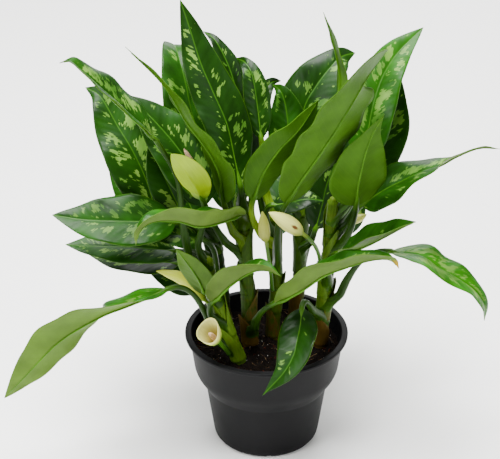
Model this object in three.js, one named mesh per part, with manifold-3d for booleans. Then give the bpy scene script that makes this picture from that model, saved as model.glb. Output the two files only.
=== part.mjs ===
// A Chinese evergreen growing in a plastic nursery pot: six canes in a bed of soil,
// their leaves on long petioles, and a few spathes, each piece a solid of its own.
// Millimetres, +Z up, origin at the middle of the pot's underside, front towards -Y.
import * as THREE from 'three';
import { mergeVertices } from 'three/addons/utils/BufferGeometryUtils.js';
import Module from 'manifold-3d';

// Pot: radii are outside ones, heights are above the surface it stands on.
const potHeight = 125;
const lipRadius = 85;
const lipThickness = 3.5;
const collarRadius = 80.5;
const collarFootRadius = 75;
const collarFootHeight = 81;
const shoulderRadius = 64;
const shoulderHeight = 64;
const bodyFootRadius = 55.5;
const bodyFootHeight = 7;
const footRingRadius = 51;
const footRingWidth = 5;
const footRecess = 3;
const floorHeight = 6;
const wallThickness = 2.2;
const padRadius = 12;
const potSides = 36;
const footDraft = 1.5;
const innerRise = 0.5;
const drainRadius = 4.5;
const drainCircleRadius = 32;
const drainCount = 6;
const drainSides = 10;
const notchCount = 6;
const notchWidth = 5;
const notchTurn = -87;

// Soil
const soilHeight = 106;
const soilMound = 4;
const soilRoughness = 0.9;
const soilRings = [0.88, 0.72, 0.54, 0.36, 0.18];

// Canes, petioles, leaves and flowers
const gap = 0.3;
const caneSides = 8;
const caneSteps = 6;
const petioleRadius = 2.4;
const petioleFootRadius = 3.2;
const petioleSteps = 5;
const petioleFlatness = 0.75;
const petioleClimb = 0.3;
const petioleLean = 0.08;
const petioleLead = 0.35;
const lineTension = 0.5;
const bladeThickness = 1.1;
const midribThickness = 2.2;
const bladeSteps = [0, 0.06, 0.15, 0.27, 0.4, 0.54, 0.68, 0.82, 0.93];
const bladeBluntness = 0.6;
const bladeOpening = 0.12;
const peduncleRadius = 2;
const flowerSides = 8;
const flowerSteps = 6;
const budBelly = 0.4;
const spadixSteps = 4;

const colours = {
  pot: 0x2b2b2c,
  soil: 0x1c1410,
  cane: 0x7a6a35,
  dark: 0x1f4d1a,
  green: 0x2f6b1c,
  young: 0x4d8f1c,
  spathe: 0xc9cf4a,
  cream: 0xe8e2b4,
  spadix: 0xd9b79a,
};

const finishes = {
  pot: { roughness: 0.55, metalness: 0 },
  soil: { roughness: 1, metalness: 0 },
  cane: { roughness: 0.7, metalness: 0 },
  dark: { roughness: 0.35, metalness: 0 },
  green: { roughness: 0.35, metalness: 0 },
  young: { roughness: 0.4, metalness: 0 },
  spathe: { roughness: 0.5, metalness: 0 },
  cream: { roughness: 0.5, metalness: 0 },
  spadix: { roughness: 0.8, metalness: 0 },
};

// Each cane: its centre line from inside the soil to its tip, and its radius at both ends.
const canes = {
  a: {
    radius: [8, 5],
    line: [[-26, -30, 82], [-29, -32, 110], [-40, -34, 146], [-52, -36, 188], [-60, -40, 235]],
  },
  b: {
    radius: [9, 5],
    line: [[-17, 1, 82], [-17, 1, 110], [-19, 0, 160], [-22, 2, 220], [-26, 6, 285]],
  },
  c: {
    radius: [9, 5.5],
    line: [[53, 1, 82], [55, 1, 110], [59, -2, 163], [62, -5, 210], [66, -8, 285]],
  },
  d: {
    radius: [7.5, 5],
    line: [[30, 40, 82], [31, 41, 110], [34, 44, 160], [36, 47, 210], [37, 49, 255]],
  },
  e: { line: [[5, 13, 82], [7, 14, 115], [10, 14, 175], [8, 12, 235], [6, 12, 265]], radius: [7.5, 5] },
  f: {
    radius: [8, 5],
    line: [[-42, 38, 82], [-44, 38, 112], [-47, 33, 155], [-50, 28, 200], [-52, 25, 230]],
  },
};

// Each leaf: the height at which its petiole leaves the cane, the line of its midrib from
// blade base to tip, its full width, where along the blade it is widest, the way its upper
// face looks at base and tip, how many degrees its halves fold up and how far they droop.
const leaves = {
  leaf_a1: {
    tone: 'green', node: 118, width: 62, fold: 22, droop: 0.15, faces: [0, 0.15, 1],
    tipFaces: [-0.6, 1.6, -0.9],
    midrib: [
      [-100, -60, 210], [-140, -75, 200], [-165, -85, 194], [-205, -92, 170], [-240, -95, 132],
      [-265, -90, 100],
    ],
  },
  leaf_a2: {
    tone: 'green', node: 185, width: 58, fold: 28, droop: 0.2, faces: [0.7, 0.1, 1],
    tipFaces: [0.6, 0, 1],
    petiole: [[-76, -36, 222], [-84, -34, 270], [-88, -35, 322]],
    midrib: [
      [-108, -40, 366], [-121, -40, 381], [-141, -39, 401], [-163, -38, 424], [-178, -36, 438],
      [-187, -35, 446], [-198, -32, 443],
    ],
  },
  leaf_a3: {
    tone: 'dark', node: 150, width: 52, fold: 48, droop: 0.2, faces: [0, 0.35, 1],
    midrib: [[-54, -56, 194], [-36, -64, 218], [-16, -70, 236], [0, -76, 241], [13, -80, 237]],
  },
  leaf_a4: {
    tone: 'green', node: 180, width: 36, faces: [0.3, 1, 0.5],
    midrib: [[-62, -46, 196], [-68, -48, 214], [-78, -52, 234], [-90, -54, 253]],
  },
  leaf_b1: {
    tone: 'young', node: 245, width: 58, fold: 52, droop: 0.25, faces: [0, 0.5, 0.85],
    tipFaces: [0, 0.4, 0.9],
    midrib: [
      [-28, -24, 275], [-43, -50, 282], [-66, -75, 290], [-86, -90, 304], [-108, -100, 309],
      [-121, -107, 304], [-126, -112, 290],
    ],
  },
  leaf_b2: {
    tone: 'young', node: 222, width: 56, faces: [0.9, 0.75, 0.2], tipFaces: [0.9, 0.3, 0.5],
    midrib: [
      [-43, -25, 290], [-47, -34, 328], [-60, -42, 360], [-78, -48, 390], [-98, -50, 428],
      [-134, -42, 464],
    ],
  },
  leaf_b3: {
    tone: 'dark', node: 205, width: 62, faces: [0.5, -1, 0.6],
    midrib: [[-62, -4, 275], [-71, -1, 305], [-88, 5, 333], [-112, 14, 360], [-139, 28, 382]],
  },
  leaf_b4: {
    tone: 'dark', node: 230, width: 62, faces: [0.1, -1, 0.3], tipFaces: [0.3, -0.3, 1],
    midrib: [
      [-44, 18, 284], [-63, 34, 318], [-75, 48, 349], [-82, 62, 378], [-88, 78, 396], [-94, 100, 404],
      [-98, 126, 390],
    ],
  },
  leaf_b5: {
    tone: 'dark', node: 262, width: 50, faces: [0.5, -1, 0.2], tipFaces: [0.2, -1, 0.2],
    midrib: [
      [-27, -8, 300], [-32, 2, 322], [-40, 14, 356], [-54, 27, 386], [-66, 38, 412], [-77, 50, 445],
      [-86, 56, 472],
    ],
  },
  leaf_b6: {
    tone: 'dark', node: 215, width: 38, faces: [0.7, -1, 0.2],
    midrib: [
      [-16, 34, 288], [-20, 50, 330], [-28, 66, 356], [-38, 82, 386], [-52, 96, 410], [-65, 108, 416],
    ],
  },
  leaf_b7: {
    tone: 'green', node: 190, width: 56, faces: [0, -0.4, 1],
    midrib: [[-35, 55, 235], [-42, 90, 262], [-50, 125, 275], [-56, 155, 268], [-60, 180, 248]],
  },
  leaf_c1: {
    tone: 'dark', node: 135, width: 42, belly: 0.3, faces: [-0.2, -1, 0.7], tipFaces: [-0.9, -0.8, 0.2],
    midrib: [
      [35, -48, 180], [33, -62, 168], [30, -76, 161], [26, -88, 150], [16, -97, 135], [-5, -99, 109],
    ],
  },
  leaf_c2: {
    tone: 'green', node: 150, width: 50, faces: [0.1, 0.1, 1], tipFaces: [0.8, -0.3, 0.8],
    midrib: [
      [124, -38, 241], [154, -46, 240], [170, -52, 231], [189, -58, 222], [206, -62, 210],
      [216, -66, 195], [217, -68, 178],
    ],
  },
  leaf_c3: {
    tone: 'green', node: 180, width: 54, fold: 40, droop: 0.2, faces: [0, 0, 1],
    midrib: [[70, -40, 240], [92, -50, 252], [113, -58, 268], [132, -64, 283], [144, -66, 290]],
  },
  leaf_c4: {
    tone: 'dark', node: 195, width: 44, faces: [0, -1, 0.4],
    midrib: [[75, 22, 224], [80, 31, 250], [86, 42, 268], [95, 52, 284]],
  },
  leaf_c5: {
    tone: 'young', node: 215, width: 62, belly: 0.3, faces: [-0.3, 1, 0.3],
    midrib: [[88, -25, 286], [89, -30, 312], [94, -34, 345], [101, -36, 370], [112, -36, 391]],
  },
  leaf_c6: {
    tone: 'green', node: 230, width: 54, belly: 0.3, faces: [-0.2, -0.7, 1], tipFaces: [0, 1, 1],
    midrib: [
      [95, -8, 277], [114, -12, 295], [134, -14, 308], [152, -16, 319], [170, -18, 327],
      [186, -18, 337], [208, -14, 344], [229, -8, 340],
    ],
  },
  leaf_c7: {
    tone: 'young', node: 255, width: 52, faces: [-0.5, -1, 0.4],
    midrib: [
      [94, -2, 319], [99, 6, 348], [104, 14, 377], [114, 24, 405], [130, 36, 426], [154, 52, 444],
    ],
  },
  leaf_c8: {
    tone: 'dark', node: 240, width: 52, faces: [-0.6, -1, 0.4],
    midrib: [[98, 23, 290], [113, 30, 320], [124, 35, 348], [132, 44, 396]],
  },
  leaf_d1: {
    tone: 'young', node: 225, width: 44, faces: [0, -1, 0.2],
    midrib: [[24, 44, 292], [22, 54, 327], [19, 64, 352], [14, 70, 366], [6, 78, 370]],
  },
  leaf_d2: {
    tone: 'dark', node: 215, width: 60, faces: [-0.4, -1, 0.5],
    midrib: [
      [34, 76, 300], [38, 86, 338], [52, 96, 362], [69, 108, 380], [79, 118, 384], [92, 128, 383],
    ],
  },
  leaf_d3: {
    tone: 'young', node: 235, width: 38, faces: [1, 0.25, 0.1],
    midrib: [[69, 45, 329], [74, 60, 378], [71, 66, 402], [64, 72, 427], [56, 76, 450]],
  },
  leaf_d4: {
    tone: 'dark', node: 190, width: 36, faces: [0, -1, 0.4],
    midrib: [[50, 24, 232], [56, 27, 256], [61, 31, 280], [70, 36, 303]],
  },
  leaf_d5: {
    tone: 'green', node: 170, width: 58, faces: [0, -0.3, 1],
    midrib: [[54, 84, 224], [68, 114, 258], [82, 145, 280], [100, 172, 278], [114, 194, 258]],
  },
  leaf_d6: {
    tone: 'green', node: 185, width: 54, faces: [-0.4, -0.6, 1],
    midrib: [[58, 68, 225], [78, 90, 264], [98, 110, 294], [116, 126, 310], [132, 138, 312]],
  },
  leaf_b8: {
    tone: 'green', node: 117, width: 54, fold: 48, droop: 0.2, faces: [-0.1, 0.4, 1],
    tipFaces: [0, 0.2, 1],
    midrib: [
      [9, -60, 195], [32, -70, 214], [54, -78, 236], [76, -82, 248], [99, -82, 256], [119, -77, 254],
      [129, -74, 242],
    ],
  },
  leaf_e1: {
    tone: 'green', node: 215, width: 42, faces: [-0.2, 1, 0.3],
    midrib: [[-14, -22, 290], [-4, -28, 324], [12, -34, 353], [30, -40, 377], [48, -44, 410]],
  },
  leaf_e2: {
    tone: 'young', node: 185, width: 76, belly: 0.5, faces: [-0.4, 1, 0.4], tipFaces: [-0.9, 0.8, 0.8],
    midrib: [
      [19, -28, 290], [32, -34, 318], [48, -42, 348], [64, -50, 380], [78, -56, 410], [89, -55, 432],
      [99, -40, 441], [108, -12, 438],
    ],
  },
  leaf_e3: {
    tone: 'dark', node: 225, width: 30, faces: [0, -0.6, 1],
    midrib: [[6, -2, 274], [24, -7, 280], [40, -10, 285], [56, -8, 282]],
  },
  leaf_e4: {
    tone: 'dark', node: 250, width: 30, faces: [0.4, -1, 0.2],
    midrib: [[-6, 30, 333], [-10, 44, 364], [-15, 56, 390], [-22, 67, 399], [-31, 79, 399]],
  },
  leaf_e5: {
    tone: 'dark', node: 215, width: 26, faces: [-0.2, -1, 0.2],
    midrib: [[-12, 62, 308], [-9, 74, 340], [-4, 84, 357], [5, 92, 366], [15, 100, 364]],
  },
  leaf_e6: {
    tone: 'green', node: 165, width: 54, faces: [0, -0.2, 1],
    midrib: [[12, 60, 205], [16, 98, 230], [20, 136, 238], [24, 168, 224], [26, 194, 200]],
  },
  leaf_f1: {
    tone: 'green', node: 205, width: 60, faces: [0, -0.7, 1],
    midrib: [[-92, -16, 262], [-115, -22, 266], [-145, -27, 269], [-180, -28, 271], [-214, -25, 275]],
  },
  leaf_f2: {
    tone: 'green', node: 174, width: 50, faces: [0, -0.35, 1],
    midrib: [[-92, -4, 222], [-115, -10, 228], [-145, -12, 231], [-175, -12, 232], [-204, -10, 233]],
  },
  leaf_f3: {
    tone: 'dark', node: 160, width: 46, faces: [0, -0.2, 1],
    midrib: [[-92, 14, 197], [-112, 12, 200], [-136, 11, 202], [-162, 12, 205], [-187, 15, 210]],
  },
  leaf_f4: {
    tone: 'green', node: 210, width: 66, faces: [0.3, -1, 0.4],
    midrib: [
      [-113, 25, 248], [-123, 32, 285], [-137, 42, 314], [-152, 55, 335], [-169, 70, 360],
      [-185, 80, 366],
    ],
  },
  leaf_f5: {
    tone: 'dark', node: 150, width: 38, faces: [0, -0.5, 1],
    midrib: [[-68, -4, 236], [-84, -11, 244], [-102, -17, 248], [-119, -21, 248]],
  },
  leaf_f6: {
    tone: 'dark', node: 220, width: 42, faces: [0.3, -1, 0.4],
    midrib: [[-88, 10, 262], [-99, 15, 286], [-110, 21, 310], [-119, 26, 330]],
  },
  leaf_f7: {
    tone: 'dark', node: 118, width: 46, faces: [0, -0.6, 1],
    midrib: [[-68, 26, 160], [-88, 30, 171], [-110, 36, 180], [-132, 42, 186]],
  },
  leaf_f8: {
    tone: 'dark', node: 180, width: 40, faces: [0.2, -1, 0.5],
    midrib: [[-108, 66, 206], [-132, 78, 228], [-151, 89, 248], [-166, 97, 264]],
  },
  leaf_f9: {
    tone: 'green', node: 160, width: 56, faces: [0.2, -0.4, 1],
    midrib: [[-72, 70, 215], [-92, 98, 244], [-116, 124, 258], [-138, 144, 254], [-156, 160, 236]],
  },
};

// Each closed spathe: a peduncle from the cane to the line of a plump, pointed bud.
const buds = {
  spathe_a3: {
    tone: 'spathe', cane: 'a', node: 140, radius: 7,
    line: [[-62, -26, 176], [-82, -28, 201], [-102, -30, 211], [-112, -31, 214]],
  },
  spathe_c1: {
    tone: 'cream', cane: 'c', node: 205, radius: 6.5,
    line: [[35, -40, 262], [24, -42, 272], [13, -44, 281], [1, -45, 289]],
  },
  spathe_c2: {
    tone: 'cream', cane: 'c', node: 225, radius: 4,
    line: [[86, 4, 250], [92, 4, 255], [101, 4, 260]],
  },
  spathe_e1: {
    tone: 'cream', cane: 'e', node: 170, radius: 6,
    line: [[-1, -14, 238], [-3, -16, 252], [-5, -17, 275]],
  },
};

// The spathe that has opened like a hood is a small folded leaf, with its spadix inside.
const hood = {
  tone: 'spathe', node: 222, width: 36, belly: 0.42, fold: 30, droop: 0.15, faces: [0.3, 0.9, -0.2],
  midrib: [[-64, -39, 300], [-70, -45, 317], [-80, -50, 338], [-93, -51, 356]],
};
const hoodSpadix = {
  radius: 2.7, line: [[-61, -34, 307], [-66, -36, 323], [-73, -40, 341], [-81, -42, 357]],
};

// The spathe that has opened like a cup: its wall runs out to the rim and back down inside.
const cup = {
  node: 124, foot: [-50, -60, 150], axis: [-0.42, -0.5, 0.76], depth: 22,
  wall: [[0.1, 5], [0.35, 9], [0.7, 11.5], [1, 12.5], [0.98, 11.5], [0.7, 10.4], [0.4, 7.6], [0.22, 4.5]],
};
const cupSpadix = { radius: 2.6, reach: [0.27, 0.85] };

const toVectors = (points) => points.map((point) => new THREE.Vector3(...point));
const smoothLine = (points) => (
  new THREE.CatmullRomCurve3(toVectors(points), false, 'catmullrom', lineTension)
);

// Skins a stack of rings, each with the same number of corners, and closes both ends. The
// second half of each ring is split the other way, so that the two faces of a thin, twisted
// blade bend alike.
function loft(rings, endPoint) {
  const corners = rings[0].length;
  const positions = rings.flat().flatMap((point) => [point.x, point.y, point.z]);
  const indices = [];
  for (let row = 0; row < rings.length - 1; row++) {
    for (let k = 0; k < corners; k++) {
      const a = row * corners + k;
      const b = row * corners + (k + 1) % corners;
      if (k < corners / 2) {
        indices.push(a, b, b + corners, a, b + corners, a + corners);
      } else {
        indices.push(a, b, a + corners, b, b + corners, a + corners);
      }
    }
  }
  for (let k = 1; k < corners - 1; k++) {
    indices.push(0, k + 1, k);
  }
  const last = (rings.length - 1) * corners;
  if (endPoint) {
    positions.push(endPoint.x, endPoint.y, endPoint.z);
    const tip = rings.length * corners;
    for (let k = 0; k < corners; k++) {
      indices.push(last + k, last + (k + 1) % corners, tip);
    }
  } else {
    for (let k = 1; k < corners - 1; k++) {
      indices.push(last, last + k, last + k + 1);
    }
  }
  const geometry = new THREE.BufferGeometry();
  geometry.setAttribute('position', new THREE.Float32BufferAttribute(positions, 3));
  geometry.setIndex(indices);
  return geometry;
}

// A round stalk of changing radius along a line.
function stalk(points, radii, sides, steps) {
  const line = smoothLine(points);
  const rings = [];
  let across = new THREE.Vector3(1, 0, 0);
  for (let i = 0; i <= steps; i++) {
    const centre = line.getPointAt(i / steps);
    const along = line.getTangentAt(i / steps);
    across = across.clone().addScaledVector(along, -across.dot(along)).normalize();
    const up = new THREE.Vector3().crossVectors(along, across);
    const radius = radii(i / steps);
    const ring = [];
    for (let k = 0; k < sides; k++) {
      const angle = (k / sides) * 2 * Math.PI;
      ring.push(centre.clone()
        .addScaledVector(across, radius * Math.cos(angle))
        .addScaledVector(up, radius * Math.sin(angle)));
    }
    rings.push(ring);
  }
  return loft(rings);
}

function halfWidth(u, belly) {
  const tail = bladeBluntness * (1 - belly) / belly;
  return (u / belly) ** bladeBluntness * ((1 - u) / (1 - belly)) ** tail;
}

// One section of a leaf: eight corners, over the upper face from edge to edge and back under.
function leafRing(centre, side, up, reach, thick, fold, droop) {
  const corner = (v, lift) => {
    const spread = reach * v * Math.cos(fold);
    const rise = reach * (Math.abs(v) * Math.sin(fold) - droop * v * v);
    return centre.clone().addScaledVector(side, spread).addScaledVector(up, rise + lift);
  };
  return [
    corner(-1, 0),
    corner(-0.5, thick.side),
    corner(0, thick.middle),
    corner(0.5, thick.side),
    corner(1, 0),
    corner(0.5, -thick.side),
    corner(0, -thick.middle),
    corner(-0.5, -thick.side),
  ];
}

function caneAt(cane, height) {
  const line = smoothLine(cane.line);
  let u = 0;
  while (u < 1 && line.getPointAt(u).z < height) {
    u += 0.005;
  }
  u = Math.min(u, 1);
  return { centre: line.getPointAt(u), along: line.getTangentAt(u), radius: caneRadius(cane, u) };
}

function caneRadius(cane, u) {
  return THREE.MathUtils.lerp(cane.radius[0], cane.radius[1], u);
}

// The petiole leaves the cane's skin, passes any points it is given, and turns smoothly
// into the midrib.
function petioleLine(leaf, cane, base, heading) {
  const foot = caneAt(cane, leaf.node);
  const towards = leaf.petiole ? toVectors(leaf.petiole) : [base];
  const outward = towards[0].clone().sub(foot.centre).setZ(0);
  if (outward.length() < 1) {
    outward.set(0, -1, 0);
  }
  outward.addScaledVector(foot.along, -outward.dot(foot.along)).normalize();
  const clearance = foot.radius + petioleFootRadius + gap;
  const start = foot.centre.clone().addScaledVector(outward, clearance);
  if (leaf.petiole) {
    return new THREE.CatmullRomCurve3([start, ...towards, base], false, 'catmullrom', lineTension);
  }
  const span = start.distanceTo(base);
  const leaveFoot = start.clone()
    .addScaledVector(foot.along, span * petioleClimb)
    .addScaledVector(outward, span * petioleLean);
  const meetBlade = base.clone().addScaledVector(heading, -span * petioleLead);
  return new THREE.CubicBezierCurve3(start, leaveFoot, meetBlade, base);
}

function leafGeometry(leaf, cane) {
  const { width, belly = 0.375, fold = 17, droop = 0.18, faces, tipFaces = faces } = leaf;
  const line = smoothLine(leaf.midrib);
  const halfFold = THREE.MathUtils.degToRad(fold);
  const baseFaces = new THREE.Vector3(...faces).normalize();
  const endFaces = new THREE.Vector3(...tipFaces).normalize();
  const base = line.getPointAt(0);
  const heading = line.getTangentAt(0);
  const blade = bladeSteps.map((u) => {
    const along = line.getTangentAt(u);
    const up = baseFaces.clone().lerp(endFaces, u);
    up.addScaledVector(along, -up.dot(along)).normalize();
    const side = new THREE.Vector3().crossVectors(along, up);
    const spread = Math.min(1, u / bladeOpening);
    const reach = Math.max(petioleRadius, width / 2 * halfWidth(u, belly));
    const thick = {
      middle: THREE.MathUtils.lerp(petioleRadius, midribThickness / 2, spread) * (1 - u / 2),
      side: THREE.MathUtils.lerp(petioleRadius * petioleFlatness, bladeThickness / 2, spread),
    };
    return leafRing(line.getPointAt(u), side, up, reach, thick, halfFold * spread, droop * spread);
  });
  const stalkLine = petioleLine(leaf, cane, base, heading);
  let up = baseFaces.clone();
  const petiole = [];
  for (let i = petioleSteps - 1; i >= 0; i--) {
    const along = stalkLine.getTangent(i / petioleSteps);
    up = up.clone().addScaledVector(along, -up.dot(along)).normalize();
    const side = new THREE.Vector3().crossVectors(along, up);
    const radius = THREE.MathUtils.lerp(petioleFootRadius, petioleRadius, i / petioleSteps);
    const thick = { middle: radius, side: radius * petioleFlatness };
    petiole.unshift(leafRing(stalkLine.getPoint(i / petioleSteps), side, up, radius, thick, 0, 0));
  }
  return loft([...petiole, ...blade], line.getPointAt(1));
}

// A body turned about the pot's axis, from an outline of [radius, height] points.
function turned(outline, sides, lift = () => 0) {
  return loft(outline.map(([radius, height]) => Array.from({ length: sides }, (_, k) => {
    const angle = (k / sides) * 2 * Math.PI;
    const x = radius * Math.cos(angle);
    const y = radius * Math.sin(angle);
    return new THREE.Vector3(x, y, height + lift(x, y, height));
  })));
}

const { Manifold, Mesh } = await Module().then((library) => {
  library.setup();
  return library;
});

function toSolid(geometry) {
  const bare = geometry.clone();
  bare.deleteAttribute('normal');
  bare.deleteAttribute('uv');
  const merged = mergeVertices(bare);
  const vertProperties = new Float32Array(merged.attributes.position.array);
  const triVerts = new Uint32Array(merged.index.array);
  return new Manifold(new Mesh({ numProp: 3, vertProperties, triVerts }));
}

function toGeometry(solid) {
  const { vertProperties, triVerts } = solid.getMesh();
  const geometry = new THREE.BufferGeometry();
  geometry.setAttribute('position', new THREE.BufferAttribute(new Float32Array(vertProperties), 3));
  geometry.setIndex(new THREE.BufferAttribute(new Uint32Array(triVerts), 1));
  return geometry;
}

// Inside of the pot, from the floor up to the mouth.
const potInside = [
  [bodyFootRadius - wallThickness, floorHeight],
  [shoulderRadius - wallThickness, shoulderHeight + innerRise],
  [collarFootRadius - wallThickness, collarFootHeight + innerRise],
  [collarRadius - wallThickness, potHeight],
];

function potGeometry() {
  const outline = [
    [padRadius, 0],
    [padRadius + footDraft, footRecess],
    [footRingRadius - footRingWidth - footDraft, footRecess],
    [footRingRadius - footRingWidth, 0],
    [footRingRadius, 0],
    [bodyFootRadius - footDraft, bodyFootHeight * 0.4],
    [bodyFootRadius, bodyFootHeight],
    [shoulderRadius, shoulderHeight],
    [collarFootRadius, collarFootHeight],
    [collarRadius, potHeight - lipThickness],
    [lipRadius, potHeight - lipThickness],
    [lipRadius, potHeight],
    ...potInside.toReversed(),
  ];
  let pot = toSolid(turned(outline, potSides));
  for (let i = 0; i < drainCount; i++) {
    const angle = (i / drainCount) * 2 * Math.PI;
    const drain = new THREE.CylinderGeometry(drainRadius, drainRadius, 3 * floorHeight, drainSides);
    drain.rotateX(Math.PI / 2);
    drain.translate(drainCircleRadius * Math.cos(angle), drainCircleRadius * Math.sin(angle), floorHeight);
    pot = pot.subtract(toSolid(drain));
  }
  for (let i = 0; i < notchCount; i++) {
    const angle = THREE.MathUtils.degToRad(notchTurn) + (i / notchCount) * 2 * Math.PI;
    const notch = new THREE.BoxGeometry(3 * footRingWidth, notchWidth, 2 * footRecess);
    notch.translate(footRingRadius, 0, 0);
    notch.rotateZ(angle);
    pot = pot.subtract(toSolid(notch));
  }
  return toGeometry(pot);
}

function soilGeometry() {
  const [foot, shoulder, collar, mouth] = potInside;
  const filled = (soilHeight - collar[1]) / (mouth[1] - collar[1]);
  const edge = THREE.MathUtils.lerp(collar[0], mouth[0], filled) - 2 * gap;
  const outline = [
    [foot[0] - 2 * gap, floorHeight + gap],
    [shoulder[0] - 2 * gap, shoulder[1]],
    [collar[0] - 2 * gap, collar[1]],
    [edge, soilHeight],
  ];
  for (const share of soilRings) {
    outline.push([edge * share, soilHeight + soilMound * (1 - share ** 2)]);
  }
  // Two crossing waves, about 18 and 14 mm long, make the top uneven.
  const clods = (x, y, height) => {
    if (height < soilHeight) {
      return 0;
    }
    return soilRoughness * (Math.sin(0.31 * x + 0.17 * y) + Math.sin(0.23 * y - 0.4 * x + 2));
  };
  let soil = toSolid(turned(outline, potSides, clods));
  for (const cane of Object.values(canes)) {
    const socket = stalk(deeper(cane.line), (u) => caneRadius(cane, u) + gap, caneSides, caneSteps);
    soil = soil.subtract(toSolid(socket));
  }
  return toGeometry(soil);
}

// The same line, starting a gap lower.
function deeper(line) {
  const [[x, y, z], ...rest] = line;
  return [[x, y, z - gap], ...rest];
}

function ringAround(centre, along, across, radius) {
  const side = across.clone().addScaledVector(along, -across.dot(along)).normalize();
  const up = new THREE.Vector3().crossVectors(along, side);
  return Array.from({ length: flowerSides }, (_, k) => {
    const angle = (k / flowerSides) * 2 * Math.PI;
    return centre.clone()
      .addScaledVector(side, radius * Math.cos(angle))
      .addScaledVector(up, radius * Math.sin(angle));
  });
}

// Any direction that no flower points along, to start its rings from.
const flowerAcross = new THREE.Vector3(0.3, -0.2, 1);

function peduncleRings(flower, cane, base, heading) {
  const line = petioleLine(flower, cane, base, heading);
  return Array.from({ length: petioleSteps }, (_, i) => {
    const u = i / petioleSteps;
    return ringAround(line.getPoint(u), line.getTangent(u), flowerAcross, peduncleRadius);
  });
}

function budGeometry(bud) {
  const line = smoothLine(bud.line);
  const rings = peduncleRings(bud, canes[bud.cane], line.getPointAt(0), line.getTangentAt(0));
  for (let i = 0; i < flowerSteps; i++) {
    const u = i / flowerSteps;
    const radius = Math.max(peduncleRadius, bud.radius * halfWidth(u, budBelly));
    rings.push(ringAround(line.getPointAt(u), line.getTangentAt(u), flowerAcross, radius));
  }
  return loft(rings, line.getPointAt(1));
}

function spadixGeometry(points, radius) {
  return stalk(points, (u) => radius * (1 - u ** 4 / 2), flowerSides, spadixSteps);
}

const cupBase = new THREE.Vector3(...cup.foot);
const cupAxis = new THREE.Vector3(...cup.axis).normalize();
const alongCup = (share) => cupBase.clone().addScaledVector(cupAxis, cup.depth * share);

function cupGeometry() {
  const rings = peduncleRings(cup, canes.a, cupBase, cupAxis);
  for (const [share, radius] of cup.wall) {
    rings.push(ringAround(alongCup(share), cupAxis, flowerAcross, radius));
  }
  return loft(rings);
}

function plainMesh(name, geometry, tone) {
  const material = new THREE.MeshStandardMaterial({ color: colours[tone], ...finishes[tone] });
  const mesh = new THREE.Mesh(geometry, material);
  mesh.name = name;
  return mesh;
}

const plant = new THREE.Group();
plant.add(plainMesh('pot', potGeometry(), 'pot'));
plant.add(plainMesh('soil', soilGeometry(), 'soil'));
for (const [letter, cane] of Object.entries(canes)) {
  const geometry = stalk(cane.line, (u) => caneRadius(cane, u), caneSides, caneSteps);
  plant.add(plainMesh(`cane_${letter}`, geometry, 'cane'));
}
for (const [name, leaf] of Object.entries(leaves)) {
  const cane = canes[name.split('_')[1][0]];
  plant.add(plainMesh(name, leafGeometry(leaf, cane), leaf.tone));
}
for (const [name, bud] of Object.entries(buds)) {
  plant.add(plainMesh(name, budGeometry(bud), bud.tone));
}
plant.add(plainMesh('spathe_a1', leafGeometry(hood, canes.a), hood.tone));
plant.add(plainMesh('spadix_a1', spadixGeometry(hoodSpadix.line, hoodSpadix.radius), 'spadix'));
plant.add(plainMesh('spathe_a2', cupGeometry(), 'cream'));
const cupSpadixLine = cupSpadix.reach.map((share) => alongCup(share).toArray());
plant.add(plainMesh('spadix_a2', spadixGeometry(cupSpadixLine, cupSpadix.radius), 'spadix'));

export default plant;
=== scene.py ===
import math
from random import Random

import bmesh
import bpy
from mathutils import Euler, Matrix, Vector, noise
from mathutils.geometry import interpolate_bezier


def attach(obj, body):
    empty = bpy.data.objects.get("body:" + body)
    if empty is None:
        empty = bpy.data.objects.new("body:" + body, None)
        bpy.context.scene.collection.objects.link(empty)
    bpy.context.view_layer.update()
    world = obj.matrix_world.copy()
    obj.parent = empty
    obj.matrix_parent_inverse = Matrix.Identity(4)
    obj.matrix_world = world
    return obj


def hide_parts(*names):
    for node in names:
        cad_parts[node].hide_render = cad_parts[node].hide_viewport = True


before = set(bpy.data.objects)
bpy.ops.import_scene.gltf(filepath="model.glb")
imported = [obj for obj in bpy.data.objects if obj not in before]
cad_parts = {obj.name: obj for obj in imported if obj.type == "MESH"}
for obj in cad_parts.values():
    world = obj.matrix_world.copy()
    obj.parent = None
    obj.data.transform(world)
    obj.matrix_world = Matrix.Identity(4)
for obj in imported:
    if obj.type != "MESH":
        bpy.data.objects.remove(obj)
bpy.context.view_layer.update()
mm = 0.001
fullTurn = 2 * math.pi
looseTurn = 6.28  # near enough for a random turn
mergeGap = 0.02 * mm
print("frame loaded:", len(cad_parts), "nodes")


# Colours and nodes

def linear(hexColour):
    channels = [int(hexColour[i:i + 2], 16) / 255 for i in (1, 3, 5)]
    curved = [c / 12.92 if c <= 0.04045 else ((c + 0.055) / 1.055) ** 2.4 for c in channels]
    return curved + [1.0]


# Gives a socket a value, or a link from a socket or from a node's first live output.
def feed(tree, target, value):
    if isinstance(value, bpy.types.Node):
        value = next(socket for socket in value.outputs if socket.enabled)
    if isinstance(value, bpy.types.NodeSocket):
        tree.links.new(value, target)
    else:
        target.default_value = value


# Adds one node. Its inputs are a list in the order of the live sockets, or a dictionary by name.
def addNode(tree, kind, inputs=(), **settings):
    made = tree.nodes.new("ShaderNode" + kind)
    for name, value in settings.items():
        setattr(made, name, value)
    live = [socket for socket in made.inputs if socket.enabled]
    for key, value in inputs.items() if isinstance(inputs, dict) else enumerate(inputs):
        target = live[key] if isinstance(key, int) else next(s for s in live if s.name == key)
        feed(tree, target, value)
    return made


def newMaterial(name, **sockets):
    material = bpy.data.materials.new(name)
    material.use_nodes = True
    tree = material.node_tree
    shader = tree.nodes["Principled BSDF"]
    for socket, value in sockets.items():
        shader.inputs[socket.replace("_", " ")].default_value = value
    return material, tree, shader


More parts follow.
